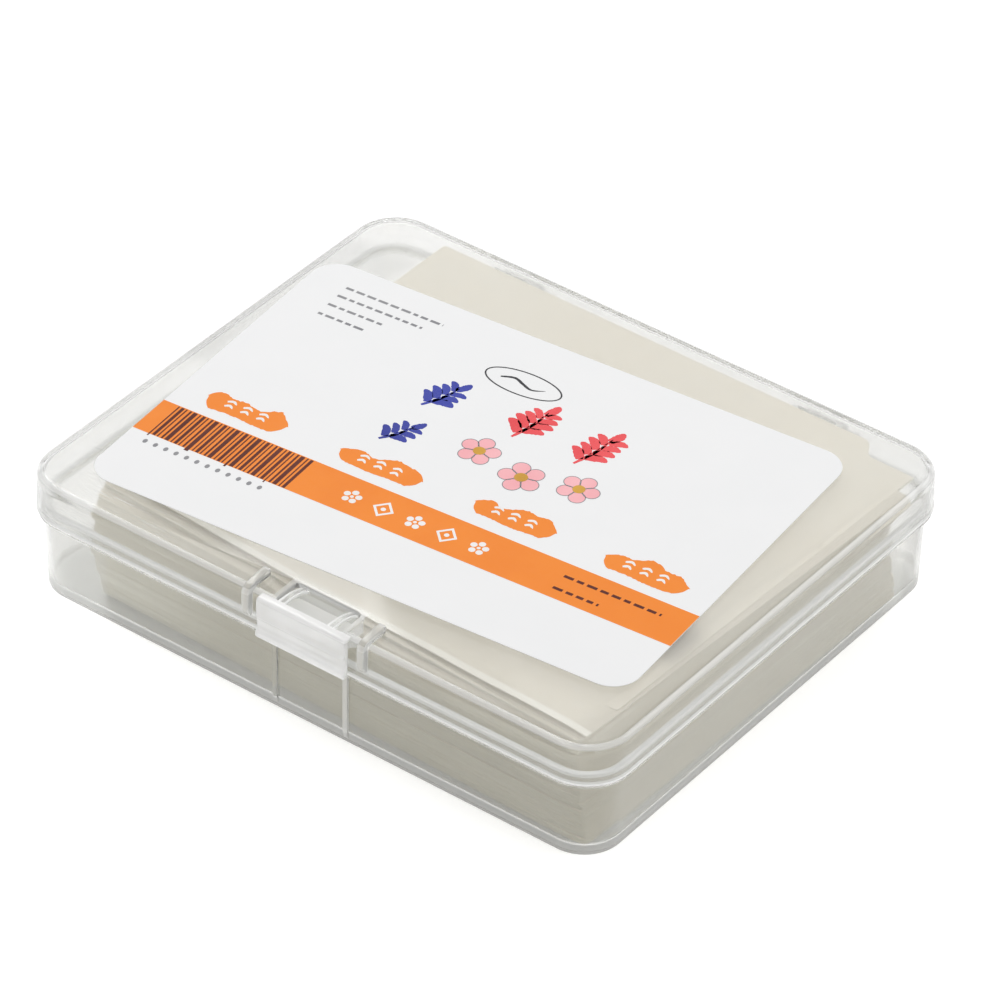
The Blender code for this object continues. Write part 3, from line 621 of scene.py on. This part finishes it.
# the notch behind the latch, with a small rounded lip
bm = bmesh.new()
notch_loops = []
for z, grow in ((16.6, 0.0), (17.95, 0.0), (18.08, 0.035), (18.17, 0.11), (18.22, 0.24), (20.0, 0.24)):
    x0, x1 = CLASP_X - NOTCH_HALF - grow, CLASP_X + NOTCH_HALF + grow
    yb = NOTCH_BACK_Y + grow
    r = 0.8
    pts = [(x0, -42.0, z), (x1, -42.0, z)]
    pts += [(x1 - r + px, yb - r + py, z) for px, py in arc((0, 0), r, 0, 90, 6)]
    pts += [(x0 + r + px, yb - r + py, z) for px, py in arc((0, 0), r, 90, 180, 6)]
    notch_loops.append(pts)
loft(bm, notch_loops)
bmesh.ops.recalc_face_normals(bm, faces=bm.faces)
notch_cut = bm
# the recess below it, with a thin wall all round and a floor
wall = 0.65


def recess(x0, x1, y0, y1, z0, z1, r):
    bm = bmesh.new()
    pts = [(x0, y0), (x1, y0)] + arc((x1 - r, y1 - r), r, 0, 90, 6) + arc((x0 + r, y1 - r), r, 90, 180, 6)
    loft(bm, [[(x, y, z0) for x, y in pts], [(x, y, z1) for x, y in pts]])
    bmesh.ops.recalc_face_normals(bm, faces=bm.faces)
    return bm


x0, x1 = CLASP_X - NOTCH_HALF, CLASP_X + NOTCH_HALF
steps = [(recess(x0 - wall, x1 + wall, -38.4, NOTCH_BACK_Y + wall, CURTAIN_Z, 17.3, 0.8 + wall), "UNION"),
         (recess(x0, x1, -38.22, NOTCH_BACK_Y, CURTAIN_Z + 0.6, 17.0, 0.8), "DIFFERENCE"),
         (notch_cut, "DIFFERENCE")]

ear_outline = ([(-35.0, 17.6), (-38.6, 17.6), (-38.6, 14.2), (-39.05, 14.15), (-39.3, 14.3), (-39.62, 14.95),
                (-39.72, 15.3), (-39.75, 17.2)]
               + arc((-38.35, 17.6), 1.40, 185, 110, 10)
               + [(-37.2, 19.12), (-36.2, 19.22), (-35.35, 19.24), (-35.08, 19.16), (-35.0, 18.95)])
for side in (-1, 1):
    x = CLASP_X + side * EAR_SPREAD
    steps.append((section(ear_outline, x - EAR_THICK / 2, x + EAR_THICK / 2, 0.18), "UNION"))
for side in (-1, 1):
    cx = side * HINGE_SPREAD
    knuckle = ([(38.5, 12.7), (38.95, 12.4)] + arc((hy, hz), KNUCKLE_R, 170, 450, 36)
               + [(40.0, 14.1), (39.3, 14.8), (38.85, 15.4), (38.5, 15.4)])
    steps.append((section(knuckle, cx - KNUCKLE_WIDTH / 2, cx + KNUCKLE_WIDTH / 2, 0.2), "UNION"))
    steps.append((rod((hy, hz), BORE_R, cx - KNUCKLE_WIDTH, cx + KNUCKLE_WIDTH), "DIFFERENCE"))
carve(lid, steps)
weld(lid)
for face in lid.data.polygons:
    c, n = face.center / MM, face.normal
    under = n.z < -0.3 and c.z > 15.4 and abs(c.x) < 46.0 and abs(c.y) < 38.3
    wall_in = abs(c.x) < 46.2 and abs(c.y) < 38.4 and n.x * c.x + n.y * c.y < -1e-3 and c.z < 17.3
    curtain = (abs(c.x - CLASP_X) < NOTCH_HALF + wall + 0.05 and -38.1 < c.y < NOTCH_BACK_Y + wall + 0.05
               and c.z < 17.19 and c.z > CURTAIN_Z - 0.05)
    face.material_index = 2 if curtain else 1 if under or wall_in else 0
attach(lid, "lid")
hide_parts("box_lid")

# ---------------------------------------------------------------- latch
flap_outline = [(-39.28, 12.50), (-39.45, 12.36), (-39.95, 12.30), (-40.22, 12.42), (-40.34, 12.68), (-40.33, 13.02),
                (-40.18, 13.34), (-40.02, 13.55), (-39.97, 13.9), (-39.95, 15.05), (-40.02, 15.22), (-40.15, 15.36),
                (-40.17, 15.52), (-40.12, 15.70), (-40.10, 17.60)]
flap_outline += arc((-39.45, 17.80), 0.65, 172, 95, 8)
flap_outline += [(-39.0, 18.51), (-38.78, 18.50), (-38.66, 18.40), (-38.62, 18.22), (-38.72, 18.08),
                 (-39.00, 17.98), (-39.17, 17.84), (-39.25, 17.60)]
latch = make(section(flap_outline, CLASP_X - FLAP_HALF, CLASP_X + FLAP_HALF, 0.22, 3), "latch_plate", [LATCH_MAT], 40)
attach(latch, "latch")
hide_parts("latch_flap")

# two thin bending straps between the lid's notch and the flap's lip
strap_start, strap_end = (-34.06, 17.38), (-38.80, 18.30)
bm = bmesh.new()
for side in (-1, 1):
    x = CLASP_X + side * STRAP_SPREAD
    dy, dz = strap_end[0] - strap_start[0], strap_end[1] - strap_start[1]
    length = math.hypot(dy, dz)
    ny, nz = dz / length, -dy / length
    middle = []
    for i in range(19):
        t = i / 18
        lift = 0.40 * 4 * t * (1 - t)
        middle.append((strap_start[0] + dy * t + ny * lift, strap_start[1] + dz * t + nz * lift))
    rows = []
    for i, (y, z) in enumerate(middle):
        a, b = middle[max(i - 1, 0)], middle[min(i + 1, 18)]
        ty, tz = b[0] - a[0], b[1] - a[1]
        norm = math.hypot(ty, tz)
        py, pz = tz / norm, -ty / norm
        wide = STRAP_WIDTH / 2 * (1.0 + 0.18 * (2 * abs(i / 18 - 0.5)) ** 3)
        half, r = STRAP_THICK / 2, 0.12
        outline = []
        for sx, sn, start in ((1, 1, 0), (-1, 1, 90), (-1, -1, 180), (1, -1, 270)):
            for k in range(4):
                ang = math.radians(start + 30 * k)
                outline.append((sx * (wide - r) + r * math.cos(ang), sn * (half - r) + r * math.sin(ang)))
        rows.append([(x + ox, y + py * on, z + pz * on) for ox, on in outline])
    loft(bm, rows)
straps = make(bm, "latch_straps", [STRAP_MAT], 50)
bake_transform(straps)

# ---------------------------------------------------------------- rice paper


def lean(z):
    """Centre and turn of the pile at height z."""
    for low, high in zip(PILE, PILE[1:]):
        if z <= high[0]:
            t = max(0.0, (z - low[0]) / (high[0] - low[0]))
            t = t * t * (3 - 2 * t)
            return [a + (b - a) * t for a, b in zip(low[1:], high[1:])]
    return list(PILE[-1][1:])


def sheet_outline(cx, cy, turn, wave_seed, trim=0.0, torn=False):
    """An almost sharp-cornered sheet with slightly wavy cut edges. A torn one lacks its back right corner."""
    hx, hy, r = PAPER[0] / 2 - trim, PAPER[1] / 2 - trim, 0.45
    if torn:
        raw = [(hx, hy - 2.85), (32.6, hy - 2.75), (31.9, hy - 2.2), (30.9, hy - 0.5), (30.2, hy)]
    else:
        raw = [(hx - r + r * math.cos(a), hy - r + r * math.sin(a)) for a in (0.0, math.pi / 4, math.pi / 2)]
    for px, py, start in ((-hx, hy, 90), (-hx, -hy, 180), (hx - (1.6 if torn else 0.0), -hy, 270)):
        ox, oy = px - math.copysign(r, px), py - math.copysign(r, py)
        ax, ay = raw[-1]
        first = (ox + r * math.cos(math.radians(start)), oy + r * math.sin(math.radians(start)))
        raw += [(ax + (first[0] - ax) * i / 6, ay + (first[1] - ay) * i / 6) for i in range(1, 6)]
        raw += [(ox + r * math.cos(math.radians(start + 45 * i)), oy + r * math.sin(math.radians(start + 45 * i))) for i in range(3)]
    (ax, ay), (bx, by) = raw[-1], raw[0]
    raw += [(ax + (bx - ax) * i / 6, ay + (by - ay) * i / 6) for i in range(1, 6)]
    points = []
    for x, y in raw:
        wave = 0.07 * noise.noise(Vector((x * 0.06, y * 0.06, wave_seed)))
        scale = 1 + wave / 36.0
        points.append((cx + (x * math.cos(turn) - y * math.sin(turn)) * scale,
                       cy + (x * math.sin(turn) + y * math.cos(turn)) * scale))
    return points


rng = random.Random(7)
PITCH = 0.055
bm = bmesh.new()
left_in_bundle = 0
bundle = (0.0, 0.0, 0.0)
z = PAPER_Z[0]
while z < 15.84:
    if left_in_bundle == 0:
        left_in_bundle = rng.randint(8, 24)
        bundle = (rng.uniform(-0.16, 0.16), rng.uniform(-0.16, 0.16), math.radians(rng.uniform(-0.14, 0.14)))
    left_in_bundle -= 1
    slid = SLID_Z[0] <= z < SLID_Z[1]
    cx, cy, angle = SLID if slid else lean(z)
    loose = 0.02 if slid else 0.05
    if not slid:
        cx, cy = cx + bundle[0], cy + bundle[1]
    outline = sheet_outline(cx + rng.uniform(-loose, loose), cy + rng.uniform(-loose, loose),
                            math.radians(angle + rng.uniform(-loose, loose)) + (0.0 if slid else bundle[2]), z * 0.9, torn=slid)
    top = z + PITCH * 0.84
    loft(bm, [[(x, y, z) for x, y in outline], [(x, y, top) for x, y in outline]])
    z += PITCH
sheets = make(bm, "rice_paper_sheets", [PAPER_MAT])
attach(sheets, "base")
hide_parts("rice_paper_stack")

# the solid middle that the sheets' edges stand out from
bm = bmesh.new()
core_loops = []
for i in range(29):
    z = PAPER_Z[0] + 0.02 + (15.3 - PAPER_Z[0]) * i / 28
    cx, cy, angle = lean(z)
    angle = math.radians(angle)
    core_loops.append([(cx + x * math.cos(angle) - y * math.sin(angle), cy + x * math.sin(angle) + y * math.cos(angle), z)
                       for x, y, _ in ring(PAPER[0] / 2 - 0.9, PAPER[1] / 2 - 0.9, 0.6, 0.0, 3)])
loft(bm, core_loops)
core = make(bm, "rice_paper_core", [CORE_MAT])
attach(core, "base")

# the topmost sheets, not quite flat, their front edge a little curled up
bm = bmesh.new()
NX, NY = 80, 66
cx, cy, angle = PILE[-1][1:]
angle = math.radians(angle)
layers = []
for lower in (False, True):
    grid = []
    for j in range(NY + 1):
        row = []
        for i in range(NX + 1):
            u, v = 2 * i / NX - 1, 2 * j / NY - 1
            v = math.copysign(abs(v) ** 0.8, v)
            lx, ly = u * PAPER[0] / 2, v * PAPER[1] / 2
            x, y = cx + lx * math.cos(angle) - ly * math.sin(angle), cy + lx * math.sin(angle) + ly * math.cos(angle)
            soft = noise.noise(Vector((x * 0.045, y * 0.045, 3.3)))
            front_edge, right_edge = ly + PAPER[1] / 2, PAPER[0] / 2 - lx
            curl = 0.34 * math.exp(-((front_edge - 0.25) / 0.95) ** 2) * (0.75 + 0.5 * noise.noise(Vector((x * 0.12, 1.7, 0.4))))
            droop = 0.20 * math.exp(-right_edge / 1.3)
            crease = math.exp(-((x - 40.0) / 3.0) ** 2) * math.exp(-((y - 14.6 - 0.05 * (x - 40)) / 0.22) ** 2)
            z = 15.90 + 0.03 * soft + curl - droop + 0.05 * crease
            row.append(bm.verts.new((x, y, z - (0.09 if lower else 0.0))))
        grid.append(row)
    layers.append(grid)
up_grid, down_grid = layers
for j in range(NY):
    for i in range(NX):
        bm.faces.new((up_grid[j][i], up_grid[j][i + 1], up_grid[j + 1][i + 1], up_grid[j + 1][i]))
        bm.faces.new((down_grid[j][i], down_grid[j + 1][i], down_grid[j + 1][i + 1], down_grid[j][i + 1]))
edge_loop = ([(0, i) for i in range(NX)] + [(j, NX) for j in range(NY)] + [(NY, i) for i in range(NX, 0, -1)]
             + [(j, 0) for j in range(NY, 0, -1)])
for (ja, ia), (jb, ib) in zip(edge_loop, edge_loop[1:] + edge_loop[:1]):
    bm.faces.new((up_grid[ja][ia], down_grid[ja][ia], down_grid[jb][ib], up_grid[jb][ib]))
top_sheet = make(bm, "rice_paper_top_sheet", [TOP_MAT], 40)
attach(top_sheet, "base")

# ---------------------------------------------------------------- label
turn = math.radians(LABEL_TURN)


def on_label(u, v):
    return (LABEL_CENTRE[0] + u * math.cos(turn) - v * math.sin(turn),
            LABEL_CENTRE[1] + u * math.sin(turn) + v * math.cos(turn))


LABEL_Z0, LABEL_Z1 = LID_TOP_Z + 0.015, LID_TOP_Z + 0.10
bm = bmesh.new()
loops = []
for inset, z in ((0.0, LABEL_Z0), (0.0, LABEL_Z1 - 0.02), (0.02, LABEL_Z1), (0.3, LABEL_Z1)):
    flat = ring(LABEL[0] / 2 - inset, LABEL[1] / 2 - inset, LABEL_CORNER_R - inset, z, 12)
    loops.append([(*on_label(x, y), z) for x, y, z in flat])
loft(bm, loops)
label = make(bm, "label_sheet", [LABEL_MAT], 40)
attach(label, "lid")
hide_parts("label")


def print_field(name, outlines, mat, layer=0):
    """Flat printed shapes in label coordinates, as thin slabs on the label."""
    z0 = LABEL_Z1 + 0.004 + 0.008 * layer
    z1 = z0 + 0.006
    bm = bmesh.new()
    for outline in outlines:
        area = sum(a[0] * b[1] - b[0] * a[1] for a, b in zip(outline, outline[1:] + outline[:1]))
        pts = [on_label(u, v) for u, v in (outline if area > 0 else outline[::-1])]
        loft(bm, [[(x, y, z0) for x, y in pts], [(x, y, z1) for x, y in pts]])
    obj = make(bm, name, [mat])
    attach(obj, "lid")
    return obj


def spline(points, count=8):
    """Catmull-Rom points through the given ones."""
    ends = [points[0]] + list(points) + [points[-1]]
    out = []
    for k in range(1, len(ends) - 2):
        p0, p1, p2, p3 = ends[k - 1:k + 3]
        for i in range(count):
            t = i / count
            out.append(tuple(0.5 * (2 * b + (c - a) * t + (2 * a - 5 * b + 4 * c - d) * t * t
                                    + (3 * b - a - 3 * c + d) * t ** 3) for a, b, c, d in zip(p0, p1, p2, p3)))
    out.append(tuple(points[-1]))
    return out


def dab(points, width, taper=(0.35, 0.15), seed=0):
    """A brush-like dab along a curve, fuller in its first half."""
    line = spline(points)
    r = random.Random(seed)
    left, far = [], []
    n = len(line) - 1
    for i, (x, y) in enumerate(line):
        t = i / n
        a, b = line[max(i - 1, 0)], line[min(i + 1, n)]
        tx, ty = b[0] - a[0], b[1] - a[1]
        norm = math.hypot(tx, ty) or 1.0
        w = width / 2 * (taper[0] * (1 - t) + taper[1] * t + math.sin(math.pi * min(1.0, t * 0.9 + 0.12)) ** 0.7)
        w *= 1 + 0.10 * r.uniform(-1, 1)
        left.append((x - ty / norm * w, y + tx / norm * w))
        far.append((x + ty / norm * w, y - tx / norm * w))
    return left + far[::-1]


def blob(centre, half_u, half_v, bumps, seed, count=56, flat_side=0.0):
    r = random.Random(seed)
    phases = [(k, r.uniform(0, 6.28), r.uniform(0.4, 1.0) * bumps / k) for k in (2, 3, 5, 7)]
    out = []
    for i in range(count):
        a = 2 * math.pi * i / count
        grow = 1 + sum(amp * math.sin(k * a + ph) for k, ph, amp in phases)
        v = math.sin(a) * half_v * grow
        if v < 0:
            v *= 1 - flat_side
        out.append((centre[0] + math.copysign(abs(math.cos(a)) ** 0.8, math.cos(a)) * half_u * grow, centre[1] + v))
    return out


def circle(centre, radius, count=28, squeeze=1.0):
    return [(centre[0] + radius * math.cos(2 * math.pi * i / count),
             centre[1] + squeeze * radius * math.sin(2 * math.pi * i / count)) for i in range(count)]


def bar(u0, u1, v0, v1):
    return [(u0, v0), (u1, v0), (u1, v1), (u0, v1)]


def hoop(outline, width):
    """A closed line of even width along a convex outline, as quads that meet at mitred corners."""
    n = len(outline)
    inner, outer = [], []
    for i in range(n):
        p, q, r = outline[i - 1], outline[i], outline[(i + 1) % n]
        ax, ay, bx, by = q[0] - p[0], q[1] - p[1], r[0] - q[0], r[1] - q[1]
        la, lb = math.hypot(ax, ay), math.hypot(bx, by)
        nx, ny = ay / la + by / lb, -ax / la - bx / lb
        size = math.hypot(nx, ny)
        reach = width / 2 / max(0.4, size / 2)
        nx, ny = nx / size * reach, ny / size * reach
        inner.append((q[0] - nx, q[1] - ny))
        outer.append((q[0] + nx, q[1] + ny))
    return [[inner[i], outer[i], outer[(i + 1) % n], inner[(i + 1) % n]] for i in range(n)]


def cloud(centre, half_u, half_v, seed):
    """A flat-bottomed patch with a bumpy top and slightly ragged ends."""
    r = random.Random(seed)
    count = 44
    phase, second = r.uniform(0, 6.28), r.uniform(0, 6.28)
    top, bottom = [], []
    for i in range(count + 1):
        t = i / count
        ends = min(1.0, 5.5 * t, 5.5 * (1 - t)) ** 0.6
        lift = 0.62 + 0.22 * math.sin(7.0 * t + phase) + 0.13 * math.sin(17.0 * t + second) + 0.05 * r.uniform(-1, 1)
        top.append((centre[0] + half_u * (1 - 2 * t), centre[1] + half_v * ends * lift))
        sink = -0.86 + 0.05 * math.sin(9.0 * t + second) + 0.03 * r.uniform(-1, 1)
        bottom.append((centre[0] - half_u * (1 - 2 * t) * 0.97, centre[1] + half_v * min(1.0, 9 * t, 9 * (1 - t)) ** 0.5 * sink))
    return top + bottom


def sprig(base, height, tilt, leaves, leaf, seed):
    """A stem with brushed leaves on both sides."""
    r = random.Random(seed)
    ca, sa = math.cos(math.radians(tilt)), math.sin(math.radians(tilt))

    def at(x, y):
        return (base[0] + x * ca - y * sa, base[1] + x * sa + y * ca)

    out = [dab([at(0, 0), at(0.25, height * 0.5), at(-0.15, height)], 0.42, seed=seed)]
    for k in range(leaves):
        t = 0.16 + 0.8 * k / leaves
        side = 1 if k % 2 else -1
        size = leaf * (1.0 - 0.35 * t) * r.uniform(0.9, 1.1)
        y0 = height * t
        out.append(dab([at(side * 0.12, y0), at(side * size * 0.55, y0 + size * 0.42), at(side * size, y0 + size * 0.50)],
                       size * 0.42, (0.25, 0.12), seed + k + 1))
    out.append(dab([at(-0.1, height * 0.9), at(0.15, height + leaf * 0.3), at(0.0, height + leaf * 0.62)], leaf * 0.36,
                   (0.25, 0.12), seed + 30))
    return out


half_u = LABEL[0] / 2
print_field("print_band", [bar(-half_u + 0.03, half_u - 0.03, -17.3, -10.2)], ORANGE)

# an even rhythm of thin and thick stripes
stripes = []
u, k = -38.2, 0
while u < -17.4:
    w = (0.20, 0.46, 0.20, 0.30, 0.62)[k % 5]
    stripes.append(bar(u, u + w, -17.7 if k % 9 == 0 else -17.25, -10.35))
    u += w + (0.30, 0.26, 0.42, 0.26, 0.34)[k % 5]
    k += 1
print_field("print_stripes", stripes, BROWN, 1)

# orange patches with short white dabs
patches, dabs = [], []
for k, (pu, pv, hu, hv) in enumerate(((-30.2, -6.2, 6.3, 2.5), (-9.4, -6.3, 6.4, 2.35), (10.8, -5.9, 6.2, 2.45), (30.6, -6.2, 6.3, 2.5))):
    patches.append(cloud((pu, pv), hu, hv, 21 + k))
    for i in range(3):
        x = pu - 2.6 + 2.5 * i
        dabs.append(dab([(x - 0.75, pv + 0.25), (x, pv + 0.62), (x + 0.7, pv + 0.2)], 0.36, seed=k * 7 + i))
        dabs.append(dab([(x - 0.6, pv - 0.75), (x + 0.05, pv - 0.35), (x + 0.65, pv - 0.8)], 0.36, seed=k * 7 + i + 50))
print_field("print_patches", patches, ORANGE)
print_field("print_patch_dabs", dabs, WHITE, 1)

# white blossoms and lozenges on the band
ornaments = []
for k, cu in enumerate((-8.9, -4.1, 0.7, 5.5, 10.3)):
    if k % 2 == 0:
        for q in range(5):
            a = math.radians(90 + 72 * q)
            ornaments.append(circle((cu + 0.92 * math.cos(a), -13.9 + 0.92 * math.sin(a)), 0.47, 16))
        ornaments.append(circle((cu, -13.9), 0.26, 12))
    else:
        ornaments += hoop([(cu - 1.35, -13.9), (cu, -15.35), (cu + 1.35, -13.9), (cu, -12.45)], 0.34)
        ornaments.append(circle((cu, -13.9), 0.36, 12))
print_field("print_band_ornaments", ornaments, WHITE, 1)

# rows of short dashes where small print would be
rows = random.Random(5)


def dashes(u0, u1, v, height, low, high, gap):
    out, u = [], u0
    while u < u1:
        w = rows.uniform(low, high)
        out.append(bar(u, min(u + w, u1), v - height / 2, v + height / 2))
        u += w + gap
    return out


small = []
for v, u0, u1 in ((24.0, -34.8, -19.4), (21.9, -34.8, -21.4), (19.6, -34.8, -26.0), (17.2, -34.8, -27.4)):
    small += dashes(u0, u1, v, 0.46, 0.7, 1.5, 0.45)
small += [circle((-37.6 + 1.62 * i, -18.9), 0.32, 10, 1.4) for i in range(12)]
print_field("print_small_rows", small, GREY)
print_field("print_band_rows", dashes(22.3, 36.6, -12.7, 0.5, 0.8, 1.5, 0.5) + dashes(22.3, 29.0, -15.4, 0.5, 0.8, 1.5, 0.5),
            BROWN, 1)

# blue and red sprigs
print_field("print_blue_sprigs", sprig((-12.3, 7.6), 6.2, -24, 7, 2.9, 1) + sprig((-12.9, -1.6), 5.4, -30, 6, 2.6, 60), BLUE)
print_field("print_red_sprigs", sprig((1.2, 8.3), 7.2, -12, 8, 3.2, 101) + sprig((10.9, 7.9), 7.4, -14, 8, 3.2, 160), RED)

# a thin oval outline round a short wave
print_field("print_oval", hoop(circle((-3.6, 18.9), 5.7, 64, 0.42), 0.22)
            + [dab([(-7.0, 18.7), (-5.2, 19.4), (-3.6, 18.8), (-2.0, 18.3), (-0.3, 19.1)], 0.34, seed=9)], BLACK)

# three small flowers
petals, petal_lines, hearts = [], [], []
for cu, cv, size, start in ((-0.6, 3.4, 2.5, 18), (6.9, 1.6, 2.7, 48), (14.4, 3.6, 2.5, 5)):
    for q in range(5):
        a = math.radians(start + 72 * q)
        c = (cu + size * 0.72 * math.cos(a), cv + size * 0.72 * math.sin(a))
        petals.append(circle(c, size * 0.44, 24))
        petal_lines += hoop(circle(c, size * 0.45, 24), 0.11)
    hearts.append(circle((cu, cv), size * 0.34, 20))
print_field("print_flower_petals", petals, PINK)
print_field("print_flower_lines", petal_lines, GREY, 1)
print_field("print_flower_hearts", hearts, GOLD, 2)

# ---------------------------------------------------------------- floor, light
# the floor's glow is painted light: strongest near the box to wash out its contact shadow, fainter further off and
# nearly none under the box
FLOOR_GLOW, FAR_GLOW, UNDER_GLOW = 0.42, 0.17, 0.02
g = Graph("floor")
mm = g.mm()
tone = g.mix(g.steps(g.noise(mm, 0.004, 2.0), 0.3, 0.7), (0.955, 0.955, 0.955), (0.95, 0.95, 0.952))
shader = g.node("ShaderNodeBsdfPrincipled")
g.link(tone, shader.inputs["Base Color"])
shader.inputs["Roughness"].default_value = 0.8
shader.inputs["Specular IOR Level"].default_value = 0.1
shader.inputs["Emission Color"].default_value = (1.0, 1.0, 1.0, 1.0)
reach = g.inset(mm, 44.5, 36.5, 6.0)
under = g.steps(reach, -1.0, 1.0, 1.0, 0.0)
painted_glow = g.steps(reach, -19.0, -1.5, FAR_GLOW, FLOOR_GLOW)
g.link(g.math("ADD", g.math("MULTIPLY", g.math("SUBTRACT", painted_glow, UNDER_GLOW), under), UNDER_GLOW), shader.inputs["Emission Strength"])
g.link(shader.outputs[0], g.out.inputs[0])
bm = bmesh.new()
bmesh.ops.create_grid(bm, x_segments=8, y_segments=8, size=4000.0)
bmesh.ops.translate(bm, verts=bm.verts, vec=(0, 0, -0.02))
floor = make(bm, "floor", [g.mat])

world = bpy.data.worlds.new("studio")
scene.world = world
world.use_nodes = True
tree = world.node_tree
tree.nodes.clear()
coord = tree.nodes.new("ShaderNodeTexCoord")
split = tree.nodes.new("ShaderNodeSeparateXYZ")
ramp = tree.nodes.new("ShaderNodeMapRange")
ramp.inputs["From Min"].default_value, ramp.inputs["From Max"].default_value = 0.0, 1.0
ramp.inputs["To Min"].default_value, ramp.inputs["To Max"].default_value = 0.60, 0.785
shade = tree.nodes.new("ShaderNodeBackground")
shade.inputs["Color"].default_value = (1.0, 1.0, 1.0, 1.0)
out = tree.nodes.new("ShaderNodeOutputWorld")
tree.links.new(coord.outputs["Generated"], split.inputs[0])
tree.links.new(split.outputs["Z"], ramp.inputs["Value"])
tree.links.new(ramp.outputs["Result"], shade.inputs["Strength"])
tree.links.new(shade.outputs[0], out.inputs[0])


def soft_light(name, location, aim, size, radiance, colour=(1, 1, 1)):
    data = bpy.data.lights.new(name, "AREA")
    data.shape = "RECTANGLE"
    data.size, data.size_y = size
    data.energy = radiance * math.pi * size[0] * size[1]
    data.color = colour
    lamp = bpy.data.objects.new(name, data)
    lamp.location = location
    lamp.rotation_mode = "QUATERNION"
    lamp.rotation_quaternion = (Vector(aim) - Vector(location)).to_track_quat("-Z", "Y")
    scene.collection.objects.link(lamp)
    return lamp



def panel_light(name, direction, distance, size, radiance):
    """A soft box that faces the object from the given direction."""
    way = Vector(direction).normalized()
    soft_light(name, way * distance, (0, 0, 0.01), size, radiance)


panel_light("softbox_left", (-0.50, 0.25, 0.83), 1.1, (0.34, 0.74), 3.6)
panel_light("softbox_back_left", (-0.47, 0.68, 0.56), 1.2, (0.75, 0.40), 0.95)
panel_light("softbox_back_right", (0.42, 0.64, 0.64), 1.2, (0.55, 0.45), 2.1)

scene.view_settings.view_transform = "Standard"
scene.view_settings.look = "None"
scene.view_settings.exposure = 0.0
scene.view_settings.gamma = 1.0
